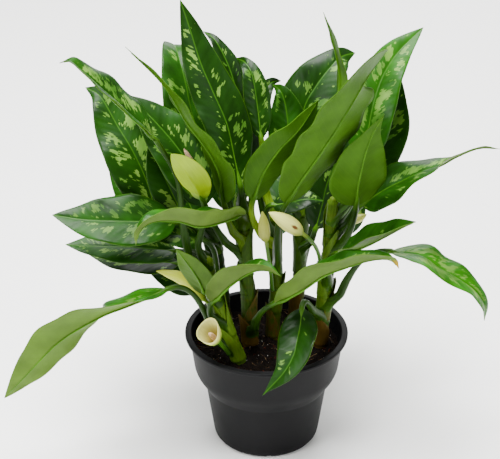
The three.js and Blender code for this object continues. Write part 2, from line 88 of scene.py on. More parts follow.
# Sets a surface's colour and roughness, and the relief that catches the light, in millimetres.
def finishSurface(tree, shader, colour, rough, relief, strength, depth):
    feed(tree, shader.inputs["Base Color"], colour)
    feed(tree, shader.inputs["Roughness"], rough)
    bump = addNode(tree, "Bump", {"Strength": strength, "Distance": depth * mm, "Height": relief})
    feed(tree, shader.inputs["Normal"], bump)


# Noise stretched to a size in millimetres, along and across.
def stretchedNoise(tree, where, size, detail):
    along, across = size
    grid = addNode(tree, "VectorMath", [where, (1 / (along * mm), 1 / (across * mm), 1.0)],
                   operation="MULTIPLY")
    return addNode(tree, "TexNoise", {"Vector": grid, "Scale": 1.0, "Detail": detail})


# Shapes shared by several pieces

def blended(start, end, share):
    return start + (end - start) * share


def softStep(low, high, value):
    share = min(1.0, max(0.0, (value - low) / (high - low)))
    return share * share * (3 - 2 * share)


def inMetres(points):
    return [Vector(point) * mm for point in points]


# A smooth line through the given points, as a close run of points.
def smoothLine(points, perSpan=24):
    knots = [Vector(point) for point in points]
    knots = [2 * knots[0] - knots[1]] + knots + [2 * knots[-1] - knots[-2]]
    line = []
    for before, start, end, after in zip(knots, knots[1:], knots[2:], knots[3:]):
        leaving, arriving = (end - before) / 6, (after - start) / 6
        span = interpolate_bezier(start, start + leaving, end - arriving, end, perSpan)
        line += span if not line else span[1:]
    return line


# Points and directions at given shares of a line's length.
class Walk:
    def __init__(self, line):
        self.line = line
        self.far = [0.0]
        for start, end in zip(line, line[1:]):
            self.far.append(self.far[-1] + (end - start).length)
        self.length = self.far[-1]

    def at(self, share):
        goal = min(max(share, 0.0), 1.0) * self.length
        low, high = 0, len(self.far) - 1
        while high - low > 1:
            middle = (low + high) // 2
            if self.far[middle] <= goal:
                low = middle
            else:
                high = middle
        span = self.far[high] - self.far[low]
        part = (goal - self.far[low]) / span if span else 0.0
        ahead = min(high, len(self.line) - 2)
        along = (self.line[ahead + 1] - self.line[max(ahead - 1, 0)]).normalized()
        return blended(self.line[low], self.line[high], part), along


# Two directions square to a line, the second as close as can be to a given one.
def crossAxes(along, near):
    up = (near - near.dot(along) * along).normalized()
    return up.cross(along), up


# The point at an angle round a centre.
def ringPoint(centre, side, up, angle, out):
    return centre + (side * math.cos(angle) + up * math.sin(angle)) * out


def newShape():
    bm = bmesh.new()
    bm.loops.layers.uv.new("share")
    bm.loops.layers.uv.new("length")
    return bm


# A grid bent into shape: place(along, across) takes two shares from 0 to 1 and gives a point
# and how far that is along and across the piece, in metres.
def bendGrid(bm, rows, columns, place, slot=0):
    shareMap = bm.loops.layers.uv["share"]
    lengthMap = bm.loops.layers.uv["length"]
    corners = bmesh.ops.create_grid(bm, x_segments=rows, y_segments=columns, size=0.5)["verts"]
    spots = {}
    for corner in corners:
        along, across = corner.co.x + 0.5, corner.co.y + 0.5
        point, reach = place(along, across)
        spots[corner] = ((along, across), reach)
        corner.co = point
    for face in {face for corner in corners for face in corner.link_faces}:
        face.smooth = True
        face.material_index = slot
        for loop in face.loops:
            loop[shareMap].uv, loop[lengthMap].uv = spots[loop.vert]
    return corners


def fillHoles(bm, slot=0):
    edges = [edge for edge in bm.edges if edge.is_boundary]
    made = bmesh.ops.holes_fill(bm, edges=edges, sides=0)
    for face in made["faces"]:
        face.material_index = slot


# Joins a rolled grid along its seam and caps its ends.
def closeShape(bm, gap=mergeGap):
    bmesh.ops.remove_doubles(bm, verts=bm.verts[:], dist=gap)
    fillHoles(bm)
    bmesh.ops.recalc_face_normals(bm, faces=bm.faces[:])


def smoothShade(bm, sharpAngle):
    for face in bm.faces:
        face.smooth = True
    for edge in bm.edges:
        edge.smooth = len(edge.link_faces) == 2 and edge.calc_face_angle(0) < math.radians(sharpAngle)


def meshOf(name, bm):
    mesh = bpy.data.meshes.new(name)
    bm.to_mesh(mesh)
    bm.free()
    return mesh


def inScene(name, content):
    made = bpy.data.objects.new(name, content)
    bpy.context.scene.collection.objects.link(made)
    return made


def newPiece(name, bm, materials, replaces=()):
    mesh = meshOf(name, bm)
    for material in materials:
        mesh.materials.append(material)
    piece = inScene(name, mesh)
    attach(piece, "root")
    if replaces:
        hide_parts(*replaces)


# The mesh that a shape has after a modifier, as a shape again.
def modified(bm, materialCount, kind, **settings):
    mesh = meshOf("raw", bm)
    for _ in range(materialCount):
        mesh.materials.append(None)
    holder = inScene("raw", mesh)
    modifier = holder.modifiers.new(kind, kind)
    for name, value in settings.items():
        setattr(modifier, name, value)
    seen = holder.evaluated_get(bpy.context.evaluated_depsgraph_get())
    result = bmesh.new()
    result.from_mesh(seen.data)
    bpy.data.objects.remove(holder)
    bpy.data.meshes.remove(mesh)
    return result


# Materials. Sizes are in millimetres. A range gives the two ends of what comes in, then of what
# goes out, or 0 and 1 where only two numbers stand.

leafLooks = {
    "darkGreen": "#082100",
    "youngGreen": "#1c5200",
    "patchDeep": "#2a5010",
    "patchSilver": "#5d8030",
    "midribGreen": "#2c5608",
    "marginGreen": "#42680f",
    "withered": "#b58a08",
    "witheredTones": (1.1, 1.7),  # a tone above one stands for tissue that has yellowed
    "patchLength": 14,
    "patchWidth": 12,
    "patchSlant": 0.55,  # the patches lie less slanted than the veins that the flecks follow
    "patchRoughness": 0.72,
    "patchWarp": 0.25,
    "patchLevel": 0.65,  # how high the noise has to be for a patch
    "patchSilvering": -0.14,  # and how much a silver leaf takes off that
    "patchEdge": (-0.004, 0.004),
    "fleckLength": 1.5,  # the small cells that the patches are made up of
    "fleckWidth": 2.6,
    "seedStep": 31.0,
    "veinSpacing": 8.5,
    "veinSlant": 0.9,  # how far forward a side vein runs for each step outwards
    "cloudSize": (30, 26),
    "bareMidrib": (0.04, 0.22, 0.2, 0.0),
    "bareMargin": (0.72, 1.0, 0.0, 0.26),
    "bareTip": (0.84, 1.0, 0.0, 0.2),
    "unevenGreen": (0.3, 0.7, 0.5, 1.65),
    "palerPatches": (0.35, 0.65),
    "midribLine": (0.3 * mm, 0.9 * mm, 0.75, 0.0),
    "marginLine": (0.965, 0.99, 0.0, 0.3),
    "roughness": (0.3, 0.7, 0.3, 0.45),
    "patchSink": -0.4,
}
# Underside colours: partly the leaf's own paler green, partly painted light shining through the leaf from
# behind.
undersideLooks = {
    "fresh": "#294e00",
    "pale": "#465c20",
    "cloudSize": 22,
    "cellSize": 1.1,
    "cellRelief": 0.4,
    "veinLine": (0.9, 1.0, 0.0, 0.28),
    "unevenGreen": (0.3, 0.7, 0.78, 1.22),
    "youngerBrighter": (0.0, 1.0, 0.72, 1.35),
    "marginLine": (0.95, 0.99, 0.0, 0.3),
    "roughness": (0.3, 0.7, 0.42, 0.56),
}


# What both skins of a leaf read: its maps, its looks and seed, the way out from the midrib as a
# share and in metres, and how far along the vein through each point starts, with a wave on it.
def leafMaps(tree):
    share, length = [addNode(tree, "SeparateXYZ", [addNode(tree, "UVMap", uv_map=name)])
                     for name in ("share", "length")]
    look = addNode(tree, "Attribute", attribute_name="look")
    looks = addNode(tree, "SeparateColor", [look.outputs["Color"]])
    twoSided = addNode(tree, "Math", [share.outputs["Y"], 2.0, -1.0], operation="MULTIPLY_ADD")
    fromMidrib = addNode(tree, "Math", [twoSided], operation="ABSOLUTE")
    outwards = addNode(tree, "Math", [length.outputs["Y"]], operation="ABSOLUTE")
    vein = addNode(tree, "Math", [outwards, -leafLooks["veinSlant"], length.outputs["X"]],
                   operation="MULTIPLY_ADD")
    turns = addNode(tree, "Math", [vein, fullTurn / (leafLooks["veinSpacing"] * mm)],
                    operation="MULTIPLY")
    ridges = addNode(tree, "Math", [turns], operation="SINE")
    return share, length, looks, look.outputs["Alpha"], fromMidrib, outwards, vein, ridges


def witheredOver(tree, tone, colour):
    share = addNode(tree, "MapRange", [tone, *leafLooks["witheredTones"]])
    return addNode(tree, "Mix", [share, colour, linear(leafLooks["withered"])], data_type="RGBA")


# A ragged mask of patches, each made up of whole flecks.
def leafPatches(tree, spot, seed, limit):
    fleckLength, fleckWidth = leafLooks["fleckLength"], leafLooks["fleckWidth"]
    patchLength, patchWidth = leafLooks["patchLength"], leafLooks["patchWidth"]
    flecks = addNode(tree, "VectorMath", [spot, (1 / (fleckLength * mm), 1 / (fleckWidth * mm), 1.0)],
                     operation="MULTIPLY")
    cells = addNode(tree, "TexVoronoi", {"Vector": flecks, "Scale": 1.0}, voronoi_dimensions="2D")
    fleck = addNode(tree, "SeparateXYZ", [cells.outputs["Position"]])
    slanted = addNode(tree, "Math", [fleck.outputs["Y"], leafLooks["patchSlant"] * fleckWidth / patchLength],
                      operation="MULTIPLY")
    forward = addNode(tree, "Math", [fleck.outputs["X"], fleckLength / patchLength, slanted],
                      operation="MULTIPLY_ADD")
    sideways = addNode(tree, "Math", [fleck.outputs["Y"], fleckWidth / patchWidth], operation="MULTIPLY")
    grid = addNode(tree, "CombineXYZ", [forward, sideways, seed])
    patches = addNode(tree, "TexNoise", {"Vector": grid, "Scale": 1.0, "Detail": 4.0,
                      "Roughness": leafLooks["patchRoughness"], "Distortion": leafLooks["patchWarp"]})
    field = addNode(tree, "Math", [patches, limit], operation="SUBTRACT")
    return addNode(tree, "MapRange", [field, *leafLooks["patchEdge"]])


def leafUpperSkin():
    # Waxed upper skin of a living leaf: deep green with feathered grey-green patches that lie
    # between the side veins, and a soft gloss broken by the veins.
    material, tree, shader = newMaterial("waxedLeafUpper", IOR=1.45, Specular_IOR_Level=0.15)
    share, length, looks, leafSeed, fromMidrib, outwards, vein, ridges = leafMaps(tree)
    tone, silvering, _ = looks.outputs
    half = addNode(tree, "Math", [length.outputs["Y"]], operation="SIGN")
    seed = addNode(tree, "Math", [leafSeed, leafLooks["seedStep"], half], operation="MULTIPLY_ADD")
    spot = addNode(tree, "CombineXYZ", [vein, outwards, seed])
    clouds = stretchedNoise(tree, spot, leafLooks["cloudSize"], 3.0)

    # No patches along the midrib, the margin and the tip.
    limit = addNode(tree, "Math", [silvering, leafLooks["patchSilvering"], leafLooks["patchLevel"]],
                    operation="MULTIPLY_ADD")
    for place, band in ((fromMidrib, "bareMidrib"), (fromMidrib, "bareMargin"),
                        (share.outputs["X"], "bareTip")):
        bare = addNode(tree, "MapRange", [place, *leafLooks[band]])
        limit = addNode(tree, "Math", [limit, bare], operation="ADD")
    mask = leafPatches(tree, spot, seed, limit)

    green = addNode(tree, "Mix", [tone, linear(leafLooks["darkGreen"]), linear(leafLooks["youngGreen"])],
                    data_type="RGBA")
    uneven = addNode(tree, "MapRange", [clouds, *leafLooks["unevenGreen"]])
    green = addNode(tree, "VectorMath", [green, uneven], operation="SCALE")
    paler = addNode(tree, "MapRange", [clouds, *leafLooks["palerPatches"]])
    silver = addNode(tree, "Mix", [paler, linear(leafLooks["patchDeep"]), linear(leafLooks["patchSilver"])],
                     data_type="RGBA")
    colour = addNode(tree, "Mix", [mask, green, silver], data_type="RGBA")
    colour = witheredOver(tree, tone, colour)
    for place, line, shade in ((outwards, "midribLine", "midribGreen"),
                               (fromMidrib, "marginLine", "marginGreen")):
        drawn = addNode(tree, "MapRange", [place, *leafLooks[line]])
        colour = addNode(tree, "Mix", [drawn, colour, linear(leafLooks[shade])], data_type="RGBA")
    rough = addNode(tree, "MapRange", [clouds, *leafLooks["roughness"]])
    relief = addNode(tree, "Math", [mask, leafLooks["patchSink"], ridges], operation="MULTIPLY_ADD")
    finishSurface(tree, shader, colour, rough, relief, strength=0.2, depth=0.15)
    return material


def leafUnderSkin():
    # Lower skin of the same leaf: plain yellow-green, duller, with the side veins a shade lighter. Its
    # yellow-green, the pale shade most of all, is partly the leaf's own colour and partly painted light
    # shining through the leaf from behind.
    material, tree, shader = newMaterial("leafUnderside", IOR=1.4, Specular_IOR_Level=0.12)
    _, length, looks, leafSeed, fromMidrib, _, _, ridges = leafMaps(tree)
    tone, _, paleAndBacklit = looks.outputs
    marginGreen = linear(leafLooks["marginGreen"])
    lines = addNode(tree, "MapRange", [ridges, *undersideLooks["veinLine"]])
    spot = addNode(tree, "CombineXYZ", [length.outputs["X"], length.outputs["Y"], leafSeed])
    clouds, cells = [addNode(tree, "TexNoise", {"Vector": spot, "Scale": 1 / (undersideLooks[size] * mm),
                             "Detail": detail}) for size, detail in (("cloudSize", 4.0), ("cellSize", 2.0))]
    green = addNode(tree, "Mix", [paleAndBacklit, linear(undersideLooks["fresh"]), linear(undersideLooks["pale"])],
                    data_type="RGBA")
    uneven = addNode(tree, "MapRange", [clouds, *undersideLooks["unevenGreen"]])
    young = addNode(tree, "MapRange", [tone, *undersideLooks["youngerBrighter"]])
    uneven = addNode(tree, "Math", [uneven, young], operation="MULTIPLY")
    green = addNode(tree, "VectorMath", [green, uneven], operation="SCALE")
    colour = addNode(tree, "Mix", [lines, green, marginGreen], data_type="RGBA")
    colour = witheredOver(tree, tone, colour)
    margin = addNode(tree, "MapRange", [fromMidrib, *undersideLooks["marginLine"]])
    colour = addNode(tree, "Mix", [margin, colour, marginGreen], data_type="RGBA")
    rough = addNode(tree, "MapRange", [cells, *undersideLooks["roughness"]])
    relief = addNode(tree, "Math", [cells, undersideLooks["cellRelief"], lines], operation="MULTIPLY_ADD")
    finishSurface(tree, shader, colour, rough, relief, strength=0.3, depth=0.3)
    return material


stalkLooks = {
    "green": "#1a3402",
    "footGreen": "#2c4d04",
    "midribPale": "#3f6a0c",
    "sheath": "#86a52c",
    "yellow": "#66860c",
    "stops": ((0.12, "green"), (0.45, "green"), (0.56, "midribPale")),
    "yellowUpTo": (0.4, 0.52, 1.0, 0.0),
    "streakSize": (18, 0.9),
    "uneven": (0.3, 0.7, 0.6, 1.3),
    "roughness": (0.3, 0.7, 0.32, 0.5),
}


def stalkSkin():
    # Petiole and midrib: fleshy, finely streaked along their length, paler at the foot and under
    # the blade, and yellow on the leaves whose petiole is bleached.
    material, tree, shader = newMaterial("fleshyPetiole", IOR=1.42, Specular_IOR_Level=0.14)
    share = addNode(tree, "SeparateXYZ", [addNode(tree, "UVMap", uv_map="share")])
    look = addNode(tree, "Attribute", attribute_name="look")
    looks = addNode(tree, "SeparateColor", [look.outputs["Color"]])
    streaks = stretchedNoise(tree, addNode(tree, "UVMap", uv_map="length"), stalkLooks["streakSize"], 3.0)
    along = addNode(tree, "ValToRGB", [share.outputs["X"]])
    stops = along.color_ramp.elements
    stops[0].color = linear(stalkLooks["footGreen"])
    stops[1].position = 1.0
    stops[1].color = linear(stalkLooks["midribPale"])
    for position, name in stalkLooks["stops"]:
        stops.new(position).color = linear(stalkLooks[name])
    onPetiole = addNode(tree, "MapRange", [share.outputs["X"], *stalkLooks["yellowUpTo"]])
    onPetiole = addNode(tree, "Math", [onPetiole, looks.outputs["Blue"]], operation="MULTIPLY")
    colour = addNode(tree, "Mix", [onPetiole, along, linear(stalkLooks["yellow"])], data_type="RGBA")
    uneven = addNode(tree, "MapRange", [streaks, *stalkLooks["uneven"]])
    colour = addNode(tree, "VectorMath", [colour, uneven], operation="SCALE")
    rough = addNode(tree, "MapRange", [streaks, *stalkLooks["roughness"]])
    finishSurface(tree, shader, colour, rough, streaks, strength=0.4, depth=0.3)
    return material


caneLooks = {
    "green": "#152e02", "fresh": "#547412", "tan": "#46360f", "scar": "#7a3409", "scarDark": "#2c1606",
    "streakSize": (9, 2.2),
    "streakedAgeing": 1.4,
    "ageing": (0.85, 1.35),
    "uneven": (0.3, 0.7, 0.7, 1.25),
}


def caneBark():
    # Aglaonema cane: smooth green skin that turns tan with age, ringed by rust-brown leaf scars.
    material, tree, shader = newMaterial("ringedCane", IOR=1.42, Specular_IOR_Level=0.12)
    look = addNode(tree, "Attribute", attribute_name="look")
    scarred, aged, fresh = addNode(tree, "SeparateColor", [look.outputs["Color"]]).outputs
    streaks = stretchedNoise(tree, addNode(tree, "UVMap", uv_map="length"), caneLooks["streakSize"], 5.0)
    ageing = addNode(tree, "Math", [streaks, caneLooks["streakedAgeing"], aged], operation="MULTIPLY_ADD")
    ageing = addNode(tree, "MapRange", [ageing, *caneLooks["ageing"]], interpolation_type="SMOOTHSTEP")
    green = addNode(tree, "Mix", [fresh, linear(caneLooks["green"]), linear(caneLooks["fresh"])],
                    data_type="RGBA")
    uneven = addNode(tree, "MapRange", [streaks, *caneLooks["uneven"]])
    green = addNode(tree, "VectorMath", [green, uneven], operation="SCALE")
    colour = addNode(tree, "Mix", [ageing, green, linear(caneLooks["tan"])], data_type="RGBA")
    scar = addNode(tree, "Mix", [streaks, linear(caneLooks["scarDark"]), linear(caneLooks["scar"])],
                   data_type="RGBA")
    colour = addNode(tree, "Mix", [scarred, colour, scar], data_type="RGBA")
    finishSurface(tree, shader, colour, 0.55, streaks, strength=0.35, depth=0.3)
    return material


flowerLooks = {
    "stemGreen": "#2c5608", "neckGreen": "#3c6210", "bruise": "#5a3008",
    "footAfter": 0.1,  # shares of the length, counted from where the green ends
    "bodyAfter": 0.2,
    "bodyUpTo": 0.8,
    "streakSize": (14, 1.3),
    "uneven": (0.3, 0.7, 0.88, 1.08),
    "bruiseAround": 0.1,
    "bruiseRaggedness": 0.08,
    "bruiseEdge": (0.06, 0.095, 1.0, 0.0),
}


def flowerSkin(name, tipColour, bodyColour, footColour, greenTo=0.44, spotShare=0.0):
    # Spathe: a thick waxy bract, smooth, with faint lines along it and a green foot.
    material, tree, shader = newMaterial(name, IOR=1.4, Specular_IOR_Level=0.45)
    shareMap = addNode(tree, "UVMap", uv_map="share")
    share = addNode(tree, "SeparateXYZ", [shareMap])
    streaks = stretchedNoise(tree, addNode(tree, "UVMap", uv_map="length"), flowerLooks["streakSize"], 3.0)
    along = addNode(tree, "ValToRGB", [share.outputs["X"]])
    stops = along.color_ramp.elements
    stops[0].color = linear(flowerLooks["stemGreen"])
    stops[1].color = linear(tipColour)
    for position, colour in ((greenTo, flowerLooks["neckGreen"]),
                             (greenTo + flowerLooks["footAfter"], footColour),
                             (greenTo + flowerLooks["bodyAfter"], bodyColour),
                             (flowerLooks["bodyUpTo"], bodyColour)):
        stops.new(position).color = linear(colour)
    uneven = addNode(tree, "MapRange", [streaks, *flowerLooks["uneven"]])
    colour = addNode(tree, "VectorMath", [along, uneven], operation="SCALE")
    if spotShare:
        spot = addNode(tree, "VectorMath", [shareMap, (spotShare, flowerLooks["bruiseAround"], 0.0)],
                       operation="DISTANCE")
        ragged = addNode(tree, "Math", [streaks, flowerLooks["bruiseRaggedness"], spot],
                         operation="MULTIPLY_ADD")
        bruise = addNode(tree, "MapRange", [ragged, *flowerLooks["bruiseEdge"]])
        colour = addNode(tree, "Mix", [bruise, colour, linear(flowerLooks["bruise"])], data_type="RGBA")
    finishSurface(tree, shader, colour, 0.42, streaks, strength=0.25, depth=0.3)
    return material


# The hollow colour is painted shade between the tiny flowers; the ridge colour is their own cream.
spadixLooks = {"ridge": "#e6c9a8", "hollowShade": "#a9764f", "cellSize": 1.5}


def spadixSkin():
    # Spadix: packed with tiny blunt flowers, so it looks grainy and matte. The hollows between the flowers
    # are darkened with painted shade.
    material, tree, shader = newMaterial("grainySpadix", Roughness=0.75)
    cells = addNode(tree, "TexVoronoi", {"Vector": addNode(tree, "TexCoord").outputs["Object"],
                    "Scale": 1 / (spadixLooks["cellSize"] * mm)})
    colour = addNode(tree, "Mix", [cells, linear(spadixLooks["ridge"]), linear(spadixLooks["hollowShade"])],
                     data_type="RGBA")
    feed(tree, shader.inputs["Base Color"], colour)
    return material


potLooks = {
    "black": "#0e0e0f", "worn": "#161617",
    "grainSize": 0.6,
    "cloudSize": 45,
    "cloudShare": 0.3,
    "scuffSize": 16,
    "scuffFlatness": 9.0,
    "scuffs": (0.6, 0.75, 0.0, 0.5),
    "roughness": (0.3, 0.7, 0.46, 0.58),
}


def potPlastic():
    # Injection-moulded polypropylene: near-black, satin, with a fine moulded grain and faint scuffs.
    material, tree, shader = newMaterial("mouldedPolypropylene", IOR=1.49, Specular_IOR_Level=0.07)
    where = addNode(tree, "TexCoord").outputs["Object"]
    grain = addNode(tree, "TexNoise", {"Vector": where, "Scale": 1 / (potLooks["grainSize"] * mm),
                    "Detail": 2.0})
    clouds = addNode(tree, "TexNoise", {"Vector": where, "Scale": 1 / (potLooks["cloudSize"] * mm),
                     "Detail": 4.0})
    scuffGrid = addNode(tree, "VectorMath", [where, (1.0, 1.0, potLooks["scuffFlatness"])],
                        operation="MULTIPLY")
    scuffs = addNode(tree, "TexNoise", {"Vector": scuffGrid, "Scale": 1 / (potLooks["scuffSize"] * mm),
                     "Detail": 6.0, "Roughness": 0.7})
    scuffs = addNode(tree, "MapRange", [scuffs, *potLooks["scuffs"]])
    worn = addNode(tree, "Math", [clouds, potLooks["cloudShare"], scuffs], operation="MULTIPLY_ADD")
    colour = addNode(tree, "Mix", [worn, linear(potLooks["black"]), linear(potLooks["worn"])],
                     data_type="RGBA")
    rough = addNode(tree, "MapRange", [clouds, *potLooks["roughness"]])
    finishSurface(tree, shader, colour, rough, grain, strength=0.25, depth=0.15)
    return material


peatLooks = {"crumbSize": 2.4, "mixing": (0.42, 0.72)}


def peat(name, dark, light, rough=0.95):
    # Damp peat and bark: near-black, crumbly, with redder and greyer specks. The grit and the
    # root fibres have the same crumbly relief, in their own colours.
    material, tree, shader = newMaterial(name, Specular_IOR_Level=0.1)
    where = addNode(tree, "TexCoord").outputs["Object"]
    crumbs = addNode(tree, "TexNoise", {"Vector": where, "Scale": 1 / (peatLooks["crumbSize"] * mm),
                     "Detail": 6.0, "Roughness": 0.7})
    mixing = addNode(tree, "MapRange", [crumbs, *peatLooks["mixing"]])
    colour = addNode(tree, "Mix", [mixing, linear(dark), linear(light)], data_type="RGBA")
    finishSurface(tree, shader, colour, rough, crumbs, strength=0.9, depth=1.2)
    return material


leafSkins = [leafUpperSkin(), leafUnderSkin(), stalkSkin()]
bark = caneBark()
print("materials ready")


# Canes: centre line from inside the soil to the tip, and the radius at both ends, in millimetres

canes = {
    "a": {"aged": 0.15, "fresh": 0.7, "radius": (8, 5),
          "line": [(-26, -30, 82), (-29, -32, 110), (-40, -34, 146), (-52, -36, 188), (-60, -40, 235)]},
    "b": {"aged": 1.0, "fresh": 0.15, "radius": (9, 5),
          "line": [(-17, 1, 82), (-17, 1, 110), (-19, 0, 160), (-22, 2, 220), (-26, 6, 285)]},
    "c": {"aged": 0.9, "fresh": 0.45, "radius": (9, 5.5),
          "line": [(53, 1, 82), (55, 1, 110), (59, -2, 163), (62, -5, 210), (66, -8, 285)]},
    "d": {"aged": 0.8, "fresh": 0.15, "radius": (7.5, 5),
          "line": [(30, 40, 82), (31, 41, 110), (34, 44, 160), (36, 47, 210), (37, 49, 255)]},
    "e": {"aged": 0.5, "fresh": 0.3, "radius": (7.5, 5),
          "line": [(5, 13, 82), (7, 14, 115), (10, 14, 175), (8, 12, 235), (6, 12, 265)]},
    "f": {"aged": 0.5, "fresh": 0.0, "radius": (8, 5),
          "line": [(-42, 38, 82), (-44, 38, 112), (-47, 33, 155), (-50, 28, 200), (-52, 25, 230)]},
}
caneStyle = {
    "rows": 110, "sides": 32, "front": (0.2, -1, 0.1), "heightSteps": 200,
    "firstRing": 8, "lastRing": 400, "ringSpacing": 15, "ringShift": 3, "ringHeight": 0.45,
    "ringWidth": 1.2, "scarWidth": 1.4, "scarShares": (0.1, 0.8),
    "lumpHeight": 0.5, "lumpFrequency": 60, "capFrom": 0.985, "capSize": 0.6,
    "agedBelow": 114, "greenAbove": 145,
}
caneFront = Vector(caneStyle["front"])
caneWalks = {letter: Walk(smoothLine(inMetres(cane["line"]))) for letter, cane in canes.items()}


def caneAt(letter, height):
    walk, steps = caneWalks[letter], caneStyle["heightSteps"]
    share = next((i / steps for i in range(steps) if walk.at(i / steps)[0].z >= height), 1.0)
    centre, along = walk.at(share)
    return centre, along, blended(*canes[letter]["radius"], share) * mm


def ringsAt(far, rings, width):
    return sum(math.exp(-((far - height) / width) ** 2) for height in rings)


def buildCane(letter):
    cane, walk, random = canes[letter], caneWalks[letter], Random(letter)
    shift = caneStyle["ringShift"]
    heights = range(caneStyle["firstRing"], caneStyle["lastRing"], caneStyle["ringSpacing"])
    rings = [height + random.uniform(-shift, shift) for height in heights]
    bm = newShape()
    looks = bm.verts.layers.float_color.new("look")

    def place(along, around):
        centre, direction = walk.at(along)
        angle = around * fullTurn
        radius = blended(*cane["radius"], along)
        radius += caneStyle["ringHeight"] * ringsAt(along * walk.length / mm, rings, caneStyle["ringWidth"])
        spot = centre * caneStyle["lumpFrequency"] + Vector((math.cos(angle), math.sin(angle), 0))
        radius += caneStyle["lumpHeight"] * noise.noise(spot)
        radius *= 1.0 if along < caneStyle["capFrom"] else caneStyle["capSize"]
        point = ringPoint(centre, *crossAxes(direction, caneFront), angle, radius * mm)
        return point, (along * walk.length, angle * cane["radius"][0] * mm)

    for corner in bendGrid(bm, caneStyle["rows"], caneStyle["sides"], place):
        scar = ringsAt((corner.co - walk.line[0]).length / mm, rings, caneStyle["scarWidth"])
        age = 1 - softStep(caneStyle["agedBelow"] * mm, caneStyle["greenAbove"] * mm, corner.co.z)
        age *= cane["aged"]
        youngScar, oldScar = caneStyle["scarShares"]
        corner[looks] = (min(1.0, scar * (youngScar + oldScar * age)), age, cane["fresh"], 0.0)
    closeShape(bm)
    newPiece(f"ringed_cane_{letter}", bm, [bark], [f"cane_{letter}"])


for letter in canes:
    buildCane(letter)
print("canes built:", len(canes))


# Old sheaths: pointed bracts that still hug the canes where leaves have dropped, in millimetres

sheathStyle = {
    "perCane": 5, "lowest": 110, "step": 30, "height": (34, 52), "turn": 2.6, "span": 2.4,
    "taper": 0.7, "stand": 0.9, "flare": 3.2, "ageing": (0.95, 0.5), "rows": 18, "columns": 14,
    "thickness": 0.45,
}


def buildSheaths():
    bm = newShape()
    looks = bm.verts.layers.float_color.new("look")
    rows = sheathStyle["rows"]
    oldest, younger = sheathStyle["ageing"]
    for letter, cane in canes.items():
        random = Random("sheath " + letter)
        for i in range(sheathStyle["perCane"]):
            foot = sheathStyle["lowest"] + i * sheathStyle["step"]
            height = random.uniform(*sheathStyle["height"])
            turn = sheathStyle["turn"] * i + random.uniform(0, 1)
            if foot + height > cane["line"][-1][2]:
                break
            stations = [caneAt(letter, (foot + height * row / rows) * mm) for row in range(rows + 1)]

            def place(alongShare, aroundShare):
                centre, along, radius = stations[round(alongShare * rows)]
                spread = sheathStyle["span"] * (1 - alongShare) ** sheathStyle["taper"]
                angle = turn + (2 * aroundShare - 1) * spread
                out = radius + (sheathStyle["stand"] + sheathStyle["flare"] * alongShare ** 2) * mm
                point = ringPoint(centre, *crossAxes(along, caneFront), angle, out)
                return point, (alongShare * height * mm, angle * radius)

            age = cane["aged"] * max(0.0, oldest - younger * i)
            for corner in bendGrid(bm, rows, sheathStyle["columns"], place):
                corner[looks] = (0.0, age, cane["fresh"], 0.0)
    bm = modified(bm, 1, "SOLIDIFY", thickness=sheathStyle["thickness"] * mm, offset=0.0)
    newPiece("old_sheaths", bm, [bark])


buildSheaths()
print("sheaths built")
